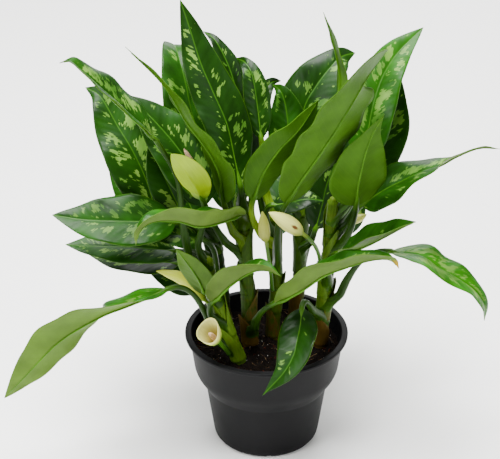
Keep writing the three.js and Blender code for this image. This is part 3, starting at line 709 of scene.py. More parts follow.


# Leaves, in millimetres: the height at which the petiole leaves the cane, the midrib from blade
# base to tip, the full width, where along the blade it is widest, the way the upper face looks
# at base and tip, how many degrees the halves fold up and how far they droop. Looks go from 0
# to 1: tone from deep to young green, silver for patches, pale for the underside (partly painted
# light shining through the leaf), sheath for a yellow petiole. What a leaf leaves out is as in
# leafStyle.
leaves = {
    "leaf_a1": {"tone": 1.0, "silver": 0.5, "pale": 0.75, "node": 118, "width": 62, "fold": 22,
        "droop": 0.15, "faces": (0, 0.15, 1), "tipFaces": (-0.6, 1.6, -0.9),
        "midrib": [(-100, -60, 210), (-140, -75, 200), (-165, -85, 194), (-205, -92, 170),
            (-240, -95, 132), (-265, -90, 100)]},
    "leaf_a2": {"tone": 0.25, "silver": 1, "pale": 0.5, "node": 185, "width": 58, "fold": 28,
        "droop": 0.2, "faces": (0.7, 0.1, 1), "tipFaces": (0.6, 0, 1),
        "petiole": [(-76, -36, 222), (-84, -34, 270), (-88, -35, 322)],
        "midrib": [(-108, -40, 366), (-121, -40, 381), (-141, -39, 401), (-163, -38, 424),
            (-178, -36, 438), (-187, -35, 446), (-198, -32, 443)]},
    "leaf_a3": {"tone": 0.35, "pale": 0.95, "node": 150, "width": 52, "fold": 48, "droop": 0.2,
        "faces": (0, 0.35, 1),
        "midrib": [(-54, -56, 194), (-36, -64, 218), (-16, -70, 236), (0, -76, 241), (13, -80, 237)]},
    "leaf_a4": {"tone": 0.6, "silver": 0.3, "pale": 0.5, "node": 180, "width": 36,
        "faces": (0.3, 1, 0.5),
        "midrib": [(-62, -46, 196), (-68, -48, 214), (-78, -52, 234), (-90, -54, 253)]},
    "leaf_b1": {"tone": 0.7, "silver": 0.5, "pale": 0.95, "sheath": 0.1, "node": 245, "width": 58,
        "fold": 52, "droop": 0.25, "faces": (0, 0.5, 0.85), "tipFaces": (0, 0.4, 0.9),
        "midrib": [(-28, -24, 275), (-43, -50, 282), (-66, -75, 290), (-86, -90, 304), (-108, -100, 309),
            (-121, -107, 304), (-126, -112, 290)]},
    "leaf_b2": {"tone": 0.75, "silver": 0.3, "pale": 0.15, "sheath": 0.3, "node": 222, "width": 56,
        "faces": (0.9, 0.75, 0.2), "tipFaces": (0.9, 0.3, 0.5),
        "midrib": [(-43, -25, 290), (-47, -34, 328), (-60, -42, 360), (-78, -48, 390), (-98, -50, 428),
            (-134, -42, 464)]},
    "leaf_b3": {"tone": 0.15, "silver": 0.75, "node": 205, "width": 62, "faces": (0.5, -1, 0.6),
        "midrib": [(-62, -4, 275), (-71, -1, 305), (-88, 5, 333), (-112, 14, 360), (-139, 28, 382)]},
    "leaf_b4": {"tone": 0.35, "node": 230, "width": 62, "faces": (0.1, -1, 0.3),
        "tipFaces": (0.3, -0.3, 1),
        "midrib": [(-44, 18, 284), (-63, 34, 318), (-75, 48, 349), (-82, 62, 378), (-88, 78, 396),
            (-94, 100, 404), (-98, 126, 390)]},
    "leaf_b5": {"tone": 0.05, "node": 262, "width": 50, "faces": (0.5, -1, 0.2),
        "tipFaces": (0.2, -1, 0.2),
        "midrib": [(-27, -8, 300), (-32, 2, 322), (-40, 14, 356), (-54, 27, 386), (-66, 38, 412),
            (-77, 50, 445), (-86, 56, 472)]},
    "leaf_b6": {"tone": 0.03, "silver": 0.45, "node": 215, "width": 38, "faces": (0.7, -1, 0.2),
        "midrib": [(-16, 34, 288), (-20, 50, 330), (-28, 66, 356), (-38, 82, 386), (-52, 96, 410),
            (-65, 108, 416)]},
    "leaf_b7": {"tone": 0.4, "node": 190, "width": 56, "faces": (0, -0.4, 1),
        "midrib": [(-35, 55, 235), (-42, 90, 262), (-50, 125, 275), (-56, 155, 268), (-60, 180, 248)]},
    "leaf_c1": {"tone": 0.1, "silver": 0.1, "pale": 0.5, "node": 135, "width": 42, "belly": 0.3,
        "faces": (-0.2, -1, 0.7), "tipFaces": (-0.9, -0.8, 0.2),
        "midrib": [(35, -48, 180), (33, -62, 168), (30, -76, 161), (26, -88, 150), (16, -97, 135),
            (-5, -99, 109)]},
    "leaf_c2": {"tone": 0.95, "silver": 1.1, "pale": 0.8, "node": 150, "width": 50,
        "faces": (0.1, 0.1, 1), "tipFaces": (0.8, -0.3, 0.8),
        "midrib": [(124, -38, 241), (154, -46, 240), (170, -52, 231), (189, -58, 222), (206, -62, 210),
            (216, -66, 195), (217, -68, 178)]},
    "leaf_c3": {"tone": 0.3, "silver": 0.05, "pale": 0.5, "node": 180, "width": 54, "fold": 40,
        "droop": 0.2, "faces": (0, 0, 1),
        "midrib": [(70, -40, 240), (92, -50, 252), (113, -58, 268), (132, -64, 283), (144, -66, 290)]},
    "leaf_c4": {"tone": 0.1, "node": 195, "width": 44, "faces": (0, -1, 0.4),
        "midrib": [(75, 22, 224), (80, 31, 250), (86, 42, 268), (95, 52, 284)]},
    "leaf_c5": {"tone": 0.7, "silver": 0.3, "pale": 0.15, "node": 215, "width": 62, "belly": 0.3,
        "faces": (-0.3, 1, 0.3),
        "midrib": [(88, -25, 286), (89, -30, 312), (94, -34, 345), (101, -36, 370), (112, -36, 391)]},
    "leaf_c6": {"tone": 0.35, "silver": 0.65, "pale": 0.9, "node": 230, "width": 54, "belly": 0.3,
        "faces": (-0.2, -0.7, 1), "tipFaces": (0, 1, 1),
        "midrib": [(95, -8, 277), (114, -12, 295), (134, -14, 308), (152, -16, 319), (170, -18, 327),
            (186, -18, 337), (208, -14, 344), (229, -8, 340)]},
    "leaf_c7": {"tone": 0.6, "silver": 0.9, "pale": 0.3, "node": 255, "width": 52,
        "faces": (-0.5, -1, 0.4),
        "midrib": [(94, -2, 319), (99, 6, 348), (104, 14, 377), (114, 24, 405), (130, 36, 426),
            (154, 52, 444)]},
    "leaf_c8": {"tone": 0.15, "silver": 0.7, "node": 240, "width": 52, "faces": (-0.6, -1, 0.4),
        "midrib": [(98, 23, 290), (113, 30, 320), (124, 35, 348), (132, 44, 396)]},
    "leaf_d1": {"tone": 0.3, "pale": 0.3, "node": 225, "width": 44, "faces": (0, -1, 0.2),
        "midrib": [(24, 44, 292), (22, 54, 327), (19, 64, 352), (14, 70, 366), (6, 78, 370)]},
    "leaf_d2": {"tone": 0.12, "silver": 0.75, "node": 215, "width": 60, "faces": (-0.4, -1, 0.5),
        "midrib": [(34, 76, 300), (38, 86, 338), (52, 96, 362), (69, 108, 380), (79, 118, 384),
            (92, 128, 383)]},
    "leaf_d3": {"tone": 0.9, "silver": 0.2, "pale": 0.2, "sheath": 0.2, "node": 235, "width": 38,
        "faces": (1, 0.25, 0.1),
        "midrib": [(69, 45, 329), (74, 60, 378), (71, 66, 402), (64, 72, 427), (56, 76, 450)]},
    "leaf_d4": {"tone": 0.0, "silver": 0.5, "node": 190, "width": 36, "faces": (0, -1, 0.4),
        "midrib": [(50, 24, 232), (56, 27, 256), (61, 31, 280), (70, 36, 303)]},
    "leaf_d5": {"tone": 0.4, "node": 170, "width": 58, "faces": (0, -0.3, 1),
        "midrib": [(54, 84, 224), (68, 114, 258), (82, 145, 280), (100, 172, 278), (114, 194, 258)]},
    "leaf_d6": {"tone": 0.3, "node": 185, "width": 54, "faces": (-0.4, -0.6, 1),
        "midrib": [(58, 68, 225), (78, 90, 264), (98, 110, 294), (116, 126, 310), (132, 138, 312)]},
    "leaf_b8": {"tone": 0.5, "silver": 0.5, "pale": 0.85, "withered": 1.0, "node": 117, "width": 54,
        "fold": 48, "droop": 0.2, "faces": (-0.1, 0.4, 1), "tipFaces": (0, 0.2, 1),
        "midrib": [(9, -60, 195), (32, -70, 214), (54, -78, 236), (76, -82, 248), (99, -82, 256),
            (119, -77, 254), (129, -74, 242)]},
    "leaf_e1": {"tone": 0.75, "silver": 0.3, "pale": 0.1, "sheath": 0.9, "node": 215, "width": 42,
        "faces": (-0.2, 1, 0.3),
        "midrib": [(-14, -22, 290), (-4, -28, 324), (12, -34, 353), (30, -40, 377), (48, -44, 410)]},
    "leaf_e2": {"tone": 0.75, "silver": 0.3, "pale": 0.2, "node": 185, "width": 76, "belly": 0.5,
        "faces": (-0.4, 1, 0.4), "tipFaces": (-0.9, 0.8, 0.8),
        "midrib": [(19, -28, 290), (32, -34, 318), (48, -42, 348), (64, -50, 380), (78, -56, 410),
            (89, -55, 432), (99, -40, 441), (108, -12, 438)]},
    "leaf_e3": {"tone": 0.0, "node": 225, "width": 30, "faces": (0, -0.6, 1),
        "midrib": [(6, -2, 274), (24, -7, 280), (40, -10, 285), (56, -8, 282)]},
    "leaf_e4": {"tone": 0.12, "silver": 0.8, "sheath": 0.6, "node": 250, "width": 30,
        "faces": (0.4, -1, 0.2),
        "midrib": [(-6, 30, 333), (-10, 44, 364), (-15, 56, 390), (-22, 67, 399), (-31, 79, 399)]},
    "leaf_e5": {"tone": 0.03, "silver": 0.45, "node": 215, "width": 26, "faces": (-0.2, -1, 0.2),
        "midrib": [(-12, 62, 308), (-9, 74, 340), (-4, 84, 357), (5, 92, 366), (15, 100, 364)]},
    "leaf_e6": {"tone": 0.35, "node": 165, "width": 54, "faces": (0, -0.2, 1),
        "midrib": [(12, 60, 205), (16, 98, 230), (20, 136, 238), (24, 168, 224), (26, 194, 200)]},
    "leaf_f1": {"tone": 0.4, "silver": 0.75, "node": 205, "width": 60, "faces": (0, -0.7, 1),
        "midrib": [(-92, -16, 262), (-115, -22, 266), (-145, -27, 269), (-180, -28, 271),
            (-214, -25, 275)]},
    "leaf_f2": {"tone": 0.4, "silver": 0.75, "node": 174, "width": 50, "faces": (0, -0.35, 1),
        "midrib": [(-92, -4, 222), (-115, -10, 228), (-145, -12, 231), (-175, -12, 232),
            (-204, -10, 233)]},
    "leaf_f3": {"tone": 0.05, "silver": 0.5, "node": 160, "width": 46, "faces": (0, -0.2, 1),
        "midrib": [(-92, 14, 197), (-112, 12, 200), (-136, 11, 202), (-162, 12, 205), (-187, 15, 210)]},
    "leaf_f4": {"tone": 0.15, "silver": 0.75, "node": 210, "width": 66, "faces": (0.3, -1, 0.4),
        "midrib": [(-113, 25, 248), (-123, 32, 285), (-137, 42, 314), (-152, 55, 335), (-169, 70, 360),
            (-185, 80, 366)]},
    "leaf_f5": {"tone": 0.3, "silver": 1.0, "node": 150, "width": 38, "faces": (0, -0.5, 1),
        "midrib": [(-68, -4, 236), (-84, -11, 244), (-102, -17, 248), (-119, -21, 248)]},
    "leaf_f6": {"tone": 0.12, "silver": 0.7, "node": 220, "width": 42, "faces": (0.3, -1, 0.4),
        "midrib": [(-88, 10, 262), (-99, 15, 286), (-110, 21, 310), (-119, 26, 330)]},
    "leaf_f7": {"tone": 0.1, "node": 118, "width": 46, "faces": (0, -0.6, 1),
        "midrib": [(-68, 26, 160), (-88, 30, 171), (-110, 36, 180), (-132, 42, 186)]},
    "leaf_f8": {"tone": 0.35, "node": 180, "width": 40, "faces": (0.2, -1, 0.5),
        "midrib": [(-108, 66, 206), (-132, 78, 228), (-151, 89, 248), (-166, 97, 264)]},
    "leaf_f9": {"tone": 0.35, "node": 160, "width": 56, "faces": (0.2, -0.4, 1),
        "midrib": [(-72, 70, 215), (-92, 98, 244), (-116, 124, 258), (-138, 144, 254),
            (-156, 160, 236)]},
}
leafStyle = {
    "belly": 0.375, "fold": 17, "droop": 0.18, "tone": 0.5, "silver": 0.6, "pale": 0.4, "sheath": 0.0,
    "withered": 0.0, "witheredReach": (7, 24), "thickness": 0.55, "waveHeight": 0.024, "quilting": 0.13,
    "flange": 2.8, "rib": 1.0,
}
bladeStyle = {
    "rows": 76, "columns": 22, "bluntness": 0.6, "opening": 0.12, "crowding": 1.2, "foot": 0.1,
    "grooveDepth": 0.45, "grooveWidth": 1.3, "quiltFading": 0.4, "waveLength": 42, "waveStagger": 2.1,
    "waveEdge": 2.2, "waveEnds": (4, 3.5),
}
stalkStyle = {
    "petioleRadius": 2.8, "footRadius": 4.2, "gap": 0.3, "petioleRows": 34, "midribRows": 24, "sides": 28,
    "climb": 0.3, "lean": 0.08, "lead": 0.35, "steps": 40,
    "claspLength": 30, "claspStand": 0.9, "groove": 0.42, "grooveWidth": 0.5, "grooveFading": (0.75, 1.0),
    "grooveLoss": 0.6, "flangeStart": (0.02, 0.12), "flangeEnd": (0.35, 0.62), "flangeAngle": 0.78,
    "flangeWidth": 0.2, "ribEnd": 0.96, "ribSize": 0.42, "ribTaper": 0.85, "ribTip": 0.2, "ribSunk": 0.8,
    "ribSinks": 0.07,
}


def halfWidth(share, belly):
    blunt = bladeStyle["bluntness"]
    return (share / belly) ** blunt * (max(0.0, 1 - share) / (1 - belly)) ** (blunt * (1 - belly) / belly)


def petioleLine(stem, letter, base, heading):
    foot, along, radius = caneAt(letter, stem["node"] * mm)
    towards = inMetres(stem.get("petiole", [])) + [base]
    outward = towards[0] - foot
    outward.z = 0
    if outward.length < mm:
        outward = Vector((0, -1, 0))
    outward = (outward - outward.dot(along) * along).normalized()
    start = foot + outward * (radius + (stalkStyle["footRadius"] + stalkStyle["gap"]) * mm)
    if "petiole" in stem:
        return smoothLine([start] + towards)
    span = (base - start).length
    leaveFoot = start + along * span * stalkStyle["climb"] + outward * span * stalkStyle["lean"]
    meetBlade = base - heading * span * stalkStyle["lead"]
    return interpolate_bezier(start, leaveFoot, meetBlade, base, stalkStyle["steps"])


# The blade's own axes at a share of its length: centre, along, side and up.
def bladeAxes(leaf, walk, share):
    centre, along = walk.at(share)
    facing = Vector(leaf["faces"]).normalized()
    tipFacing = Vector(leaf.get("tipFaces", leaf["faces"])).normalized()
    side, up = crossAxes(along, blended(facing, tipFacing, share))
    return centre, along, side, up


def shapeBlade(bm, leaf, walk, seed):
    fold = math.radians(leaf["fold"])
    endIn, endOut = bladeStyle["waveEnds"]

    def place(alongShare, acrossShare):
        centre, along, side, up = bladeAxes(leaf, walk, alongShare)
        v = 2 * acrossShare - 1
        out = abs(v) ** bladeStyle["crowding"]
        spread = min(1.0, alongShare / bladeStyle["opening"])
        reach = leaf["width"] / 2 * halfWidth(alongShare, leaf["belly"])
        reach = max(reach, stalkStyle["petioleRadius"] * (1 - alongShare / bladeStyle["foot"]))
        far = alongShare * walk.length / mm
        sideways = math.copysign(reach * out * math.cos(fold * spread), v)
        rise = reach * (out * math.sin(fold * spread) - leaf["droop"] * spread * out * out)
        groove = math.exp(-(reach * out / bladeStyle["grooveWidth"]) ** 2)
        rise -= bladeStyle["grooveDepth"] * spread * groove * (1 - alongShare)
        vein = far - leafLooks["veinSlant"] * reach * out
        quilt = math.sin(fullTurn * vein / leafLooks["veinSpacing"]) * math.sin(math.pi * min(1.0, out))
        rise += leaf["quilting"] * quilt * spread * (1 - alongShare) ** bladeStyle["quiltFading"]
        phase = seed * looseTurn + (bladeStyle["waveStagger"] if v > 0 else 0.0)
        ripple = math.sin(fullTurn * far / bladeStyle["waveLength"] + phase)
        ends = min(1.0, endIn * alongShare, endOut * (1 - alongShare))
        rise += leaf["width"] * leaf["waveHeight"] * ripple * out ** bladeStyle["waveEdge"] * ends
        point = centre + side * sideways * mm + up * rise * mm
        return point, (alongShare * walk.length, math.copysign(reach * out * mm, v))

    return bendGrid(bm, bladeStyle["rows"], bladeStyle["columns"], place)


# A stalk in the round: a channelled petiole with a sheath that clasps the cane, going on as
# the midrib under the blade.
def shapeStalk(bm, leaf, letter, walk, petioleWalk, slot):
    up = Vector(leaf["faces"]).normalized()
    style = stalkStyle
    petioleRadius = style["petioleRadius"]
    stations = []
    rows = style["petioleRows"]
    for i in range(rows, -1, -1):
        share = i / rows
        centre, along = petioleWalk.at(share)
        side, up = crossAxes(along, up)
        radius = blended(style["footRadius"], petioleRadius, share)
        far = share * petioleWalk.length / mm
        clasp = 1 - softStep(0, style["claspLength"], far)
        caneCentre, _, caneRadius = caneAt(letter, centre.z)
        sheathed = softStep(*style["flangeStart"], share) * (1 - softStep(*style["flangeEnd"], share))
        flange = leaf["flange"] * sheathed * (1 - clasp)
        if clasp > 0:
            centre = blended(centre, Vector((caneCentre.x, caneCentre.y, centre.z)), clasp)
            radius = blended(radius, caneRadius / mm + style["claspStand"], clasp)
        fading = 1 - softStep(*style["grooveFading"], share) * style["grooveLoss"]
        groove = style["groove"] * (1 - clasp) * fading
        far -= petioleWalk.length / mm
        stations.insert(0, (centre, side, up, radius, groove, flange, 0.5 * share, far))
    rows = style["midribRows"]
    for i in range(1, rows + 1):
        share = i / rows * style["ribEnd"]
        centre, along, side, up = bladeAxes(leaf, walk, share)
        radius = petioleRadius * (1 - share) ** style["ribTaper"] * style["ribSize"] + style["ribTip"]
        radius = blended(petioleRadius, radius * leaf["rib"], min(1.0, share / bladeStyle["opening"]))
        sunk = (radius * style["ribSunk"] + bladeStyle["grooveDepth"]) * mm
        sunk *= min(1.0, share / style["ribSinks"])
        stations.append((centre - up * sunk, side, up, radius, 0.0, 0.0, 0.5 + 0.5 * share,
                         share * walk.length / mm))
    last = len(stations) - 1

    def place(alongShare, aroundShare):
        centre, side, up, radius, groove, flange, _, far = stations[round(alongShare * last)]
        angle = aroundShare * fullTurn
        facing = math.atan2(math.cos(angle), math.sin(angle))
        out = radius * (1 - groove * math.exp(-(facing / style["grooveWidth"]) ** 2))
        out += flange * math.exp(-((abs(facing) - style["flangeAngle"]) / style["flangeWidth"]) ** 2)
        return ringPoint(centre, side, up, angle, out * mm), (far * mm, angle * radius * mm)

    corners = bendGrid(bm, last, style["sides"], place, slot)
    # The share map's first half is the petiole and its second half the midrib.
    shareMap = bm.loops.layers.uv["share"]
    for face in {face for corner in corners for face in corner.link_faces}:
        for loop in face.loops:
            row, around = loop[shareMap].uv
            loop[shareMap].uv = (stations[round(row * last)][6], around)
    return corners


def paintLooks(bm, corners, leaf, silver, pale, seed, tip):
    looks = bm.verts.layers.float_color["look"]
    near, far = leaf["witheredReach"]
    for corner in corners:
        withering = leaf["withered"] * (1 - softStep(near, far, (corner.co - tip).length / mm))
        corner[looks] = (leaf["tone"] + withering, silver, pale, seed)


def buildLeaf(name, ownLook, materials, pieceName):
    leaf = {**leafStyle, **ownLook}
    letter = name.split("_")[1][0]
    seed = Random(name).random()
    walk = Walk(smoothLine(inMetres(leaf["midrib"])))
    petioleWalk = Walk(petioleLine(leaf, letter, *walk.at(0)))
    stalkSlot = materials.index(leafSkins[2])
    bm = newShape()
    bm.verts.layers.float_color.new("look")
    corners = shapeBlade(bm, leaf, walk, seed)
    paintLooks(bm, corners, leaf, leaf["silver"], leaf["pale"], seed, walk.line[-1])
    bmesh.ops.remove_doubles(bm, verts=bm.verts[:], dist=mergeGap)
    bm = modified(bm, len(materials), "SOLIDIFY", thickness=leaf["thickness"] * mm, offset=-1.0,
                  material_offset=1, material_offset_rim=1, use_quality_normals=True)
    corners = shapeStalk(bm, leaf, letter, walk, petioleWalk, stalkSlot)
    paintLooks(bm, corners, leaf, 0.0, leaf["sheath"], seed, walk.line[-1])
    bmesh.ops.remove_doubles(bm, verts=corners, dist=mergeGap)
    fillHoles(bm, stalkSlot)
    stalkFaces = [face for face in bm.faces if face.material_index == stalkSlot]
    bmesh.ops.recalc_face_normals(bm, faces=stalkFaces)
    newPiece(pieceName, bm, materials, [name])


for name, leaf in leaves.items():
    buildLeaf(name, leaf, leafSkins, name.replace("leaf", "grown_leaf"))
print("leaves built:", len(leaves))


# Flowers: closed spathes on peduncles, then the two open ones with a spadix inside

buds = {
    "spathe_a3": {"node": 140, "radius": 7, "skin": "lime",
                  "line": [(-62, -26, 176), (-82, -28, 201), (-102, -30, 211), (-112, -31, 214)]},
    "spathe_c1": {"node": 205, "radius": 8, "skin": "bruised",
                  "line": [(35, -40, 262), (24, -42, 272), (13, -44, 281), (1, -45, 289)]},
    "spathe_c2": {"node": 225, "radius": 4, "skin": "cream",
                  "line": [(86, 4, 250), (92, 4, 255), (101, 4, 260)]},
    "spathe_e1": {"node": 170, "radius": 6, "skin": "cream",
                  "line": [(-1, -14, 238), (-3, -16, 252), (-5, -17, 275)]},
}
flowerStyle = {
    "up": (0.3, -0.2, 1), "peduncleRadius": 2, "belly": 0.4, "rows": 64, "sides": 32,
    "peduncleRows": 0.5, "fold": 0.7, "foldStart": 0.1, "foldTurn": 0.35, "tipFrom": 0.97, "neckTo": 0.3,
}
flowerUp = Vector(flowerStyle["up"])
flowerSkins = {
    "lime": flowerSkin("waxySpatheLime", "#9ea61c", "#a3ae26", "#6f8a14"),
    "cream": flowerSkin("waxySpatheCream", "#7c8428", "#9fa243", "#748626"),
    "bruised": flowerSkin("waxySpatheBruised", "#bcc062", "#c3c566", "#8d9c2c", spotShare=0.67),
    "hood": flowerSkin("waxySpatheHood", "#8aa800", "#98b400", "#86a204", greenTo=0.02),
    "cup": flowerSkin("waxySpatheCup", "#8a7420", "#ccca78", "#9aa63c"),
}
grains = spadixSkin()


def buildBud(name, bud):
    walk = Walk(smoothLine(inMetres(bud["line"])))
    stem = Walk(petioleLine(bud, name.split("_")[1][0], *walk.at(0)))
    stemShare = flowerStyle["peduncleRows"]
    bm = newShape()

    def place(alongShare, aroundShare):
        angle = aroundShare * fullTurn
        if alongShare < stemShare:
            centre, along = stem.at(alongShare / stemShare)
            radius = flowerStyle["peduncleRadius"]
        else:
            share = (alongShare - stemShare) / (1 - stemShare)
            centre, along = walk.at(share)
            swell = bud["radius"] * halfWidth(share, flowerStyle["belly"])
            # One margin of the rolled bract lies over the other and runs round to the tip.
            lap = (aroundShare + flowerStyle["foldTurn"] * share + flowerStyle["foldStart"]) % 1.0
            swell += flowerStyle["fold"] * lap ** 3 * math.sin(math.pi * share) ** 0.5
            neck = flowerStyle["peduncleRadius"] * (1 - softStep(0.0, flowerStyle["neckTo"], share))
            radius = max(neck, swell) * (1 - softStep(flowerStyle["tipFrom"], 1.0, share))
        point = ringPoint(centre, *crossAxes(along, flowerUp), angle, radius * mm)
        return point, (alongShare * (stem.length + walk.length), angle * bud["radius"] * mm)

    bendGrid(bm, flowerStyle["rows"], flowerStyle["sides"], place)
    closeShape(bm)
    newPiece(f"closed_{name}", bm, [flowerSkins[bud["skin"]]], [name])


for name, bud in buds.items():
    buildBud(name, bud)

hood = {"node": 222, "width": 36, "belly": 0.42, "fold": 30, "droop": 0.15, "faces": (0.3, 0.9, -0.2),
        "midrib": [(-64, -39, 300), (-70, -45, 317), (-80, -50, 338), (-93, -51, 356)],
        "thickness": 0.8, "waveHeight": 0.0096, "quilting": 0.0, "flange": 0.0, "rib": 0.25,
        "silver": 0.0, "pale": 0.0}
buildLeaf("spathe_a1", hood, [flowerSkins["hood"]] * 2 + leafSkins[2:], "hooded_spathe")

cup = {"node": 124, "foot": (-50, -60, 150), "axis": (-0.42, -0.5, 0.76), "depth": 22,
       "wall": [(0.1, 5), (0.35, 9), (0.7, 11.5), (1, 12.5), (1.02, 12.2), (0.98, 11.7), (0.7, 10.6),
                (0.4, 7.8), (0.22, 4.5)],
       "rows": 72, "sides": 48, "stemShare": 0.3, "flare": 0.14, "lobes": (0.6, 0.5), "pointAt": 2.2,
       "pointReach": 0.12, "streakRadius": 10}
cupFoot = Vector(cup["foot"]) * mm
cupAxis = Vector(cup["axis"]).normalized()


def buildCup():
    stem = Walk(petioleLine(cup, "a", cupFoot, cupAxis))
    wall = Walk(smoothLine(inMetres((share * cup["depth"], radius, 0) for share, radius in cup["wall"])))
    stemShare, depth = cup["stemShare"], cup["depth"] * mm
    triangle, pointed = cup["lobes"]
    bm = newShape()

    def place(alongShare, aroundShare):
        angle = aroundShare * fullTurn
        if alongShare < stemShare:
            centre, along = stem.at(alongShare / stemShare)
            radius = flowerStyle["peduncleRadius"] * mm
        else:
            spot = wall.at((alongShare - stemShare) / (1 - stemShare))[0]
            # The mouth is a rounded triangle, drawn out to a point on one side.
            mouth = spot.x / depth
            towardsPoint = math.cos(angle - cup["pointAt"])
            lobes = triangle * math.cos(3 * angle) + pointed * towardsPoint
            centre = cupFoot + cupAxis * spot.x * (1 + cup["pointReach"] * mouth * towardsPoint)
            along, radius = cupAxis, spot.y * (1 + cup["flare"] * mouth ** 2 * lobes)
        point = ringPoint(centre, *crossAxes(along, flowerUp), angle, radius)
        return point, (alongShare * (stem.length + wall.length), angle * cup["streakRadius"] * mm)

    bendGrid(bm, cup["rows"], cup["sides"], place)
    closeShape(bm)
    newPiece("cupped_spathe", bm, [flowerSkins["cup"]], ["spathe_a2"])


spadixStyle = {"rows": 90, "sides": 36, "grainSize": 1.5, "grainHeight": 0.09, "grainsRound": 6,
               "taper": 0.5, "roundFrom": 0.93, "roundBy": 0.7}


def buildSpadix(pieceName, line, widest, node):
    walk = Walk(smoothLine(line))
    bm = newShape()

    def place(alongShare, aroundShare):
        centre, along = walk.at(alongShare)
        angle = aroundShare * fullTurn
        turns = alongShare * walk.length / (spadixStyle["grainSize"] * mm) * math.pi
        grain = math.sin(turns) * math.cos(spadixStyle["grainsRound"] * angle + turns / 2)
        radius = widest * (1 + spadixStyle["grainHeight"] * grain)
        radius *= 1 - spadixStyle["taper"] * alongShare ** 4
        radius *= 1 - spadixStyle["roundBy"] * softStep(spadixStyle["roundFrom"], 1.0, alongShare)
        return ringPoint(centre, *crossAxes(along, flowerUp), angle, radius * mm), (0, 0)

    bendGrid(bm, spadixStyle["rows"], spadixStyle["sides"], place)
    closeShape(bm)
    newPiece(pieceName, bm, [grains], [node])


buildCup()
hoodSpadix = [(-61, -34, 307), (-66, -36, 323), (-73, -40, 341), (-81, -42, 357)]
buildSpadix("hooded_spadix", inMetres(hoodSpadix), 2.7, "spadix_a1")
cupSpadix = [cupFoot + cupAxis * cup["depth"] * share * mm for share in (0.27, 0.56, 0.85)]
buildSpadix("cupped_spadix", cupSpadix, 2.6, "spadix_a2")
print("flowers built")


# Pot: outline points as radius, height and how far the corner is rounded, in millimetres

pot = {
    "outline": [(0, 0, 0), (12, 0, 1), (13.5, 3, 1), (44.5, 3, 1), (46, 0, 0.8), (51, 0, 1.5),
                (54, 2.8, 3), (55.5, 7, 3), (64, 64, 1.5), (75, 81, 6), (80.5, 121.5, 0.6), (85, 121.5, 1),
                (85, 125, 1.2), (78.3, 125, 1), (72.8, 81.5, 5), (61.8, 64.5, 2), (53.3, 6, 3), (0, 6, 0)],
    "steps": 144,
    "arcSteps": 5,
    "arcFullness": 0.6,
    "sharpAngle": 32,
    "drains": {"count": 6, "radius": 4.5, "circle": 32, "height": 5, "depth": 16, "sides": 28},
    "notches": {"count": 6, "width": 5, "height": 3, "length": 15, "radius": 51, "turn": -87},
}


# The outline with each corner rounded by a short arc.
def roundedOutline(outline):
    corners = [Vector((radius, 0, height)) * mm for radius, height, _ in outline]
    full = pot["arcFullness"]
    line = [corners[0]]
    for before, corner, after, (_, _, rounding) in zip(corners, corners[1:], corners[2:], outline[1:]):
        if not rounding:
            line.append(corner)
            continue
        start = corner + (before - corner).normalized() * rounding * mm
        end = corner + (after - corner).normalized() * rounding * mm
        line += interpolate_bezier(start, blended(start, corner, full), blended(end, corner, full), end,
                                   pot["arcSteps"])
    return line + [corners[-1]]


def spinOutline(bm, line, steps):
    corners = [bm.verts.new(point) for point in line]
    edges = [bm.edges.new(pair) for pair in zip(corners, corners[1:])]
    bmesh.ops.spin(bm, geom=corners + edges, cent=(0, 0, 0), axis=(0, 0, 1), dvec=(0, 0, 0),
                   angle=fullTurn, steps=steps, use_merge=True)
    bmesh.ops.remove_doubles(bm, verts=bm.verts[:], dist=mergeGap)
    bmesh.ops.recalc_face_normals(bm, faces=bm.faces[:])


def buildPot():
    cutter = bmesh.new()
    drains, notches = pot["drains"], pot["notches"]
    for i in range(drains["count"]):
        turn = i / drains["count"] * fullTurn
        out = Vector((math.cos(turn), math.sin(turn), 0)) * drains["circle"]
        middle = (out + Vector((0, 0, drains["height"]))) * mm
        bmesh.ops.create_cone(cutter, cap_ends=True, segments=drains["sides"], radius1=drains["radius"] * mm,
                              radius2=drains["radius"] * mm, depth=drains["depth"] * mm,
                              matrix=Matrix.Translation(middle))
    for i in range(notches["count"]):
        turn = math.radians(notches["turn"]) + i / notches["count"] * fullTurn
        size = Vector((notches["length"], notches["width"], 2 * notches["height"])) * mm
        place = Matrix.Rotation(turn, 4, "Z") @ Matrix.Translation((notches["radius"] * mm, 0, 0))
        bmesh.ops.create_cube(cutter, size=1, matrix=place @ Matrix.Diagonal((*size, 1)))
    cuts = inScene("cuts", meshOf("cuts", cutter))
    bm = bmesh.new()
    spinOutline(bm, roundedOutline(pot["outline"]), pot["steps"])
    bm = modified(bm, 1, "BOOLEAN", object=cuts, operation="DIFFERENCE", solver="MANIFOLD")
    bpy.data.objects.remove(cuts)
    smoothShade(bm, pot["sharpAngle"])
    newPiece("nursery_pot", bm, [potPlastic()], ["pot"])


buildPot()
print("pot built")


# Soil: a bed with crumbs, bark, white grit and root fibres strewn on it, in millimetres

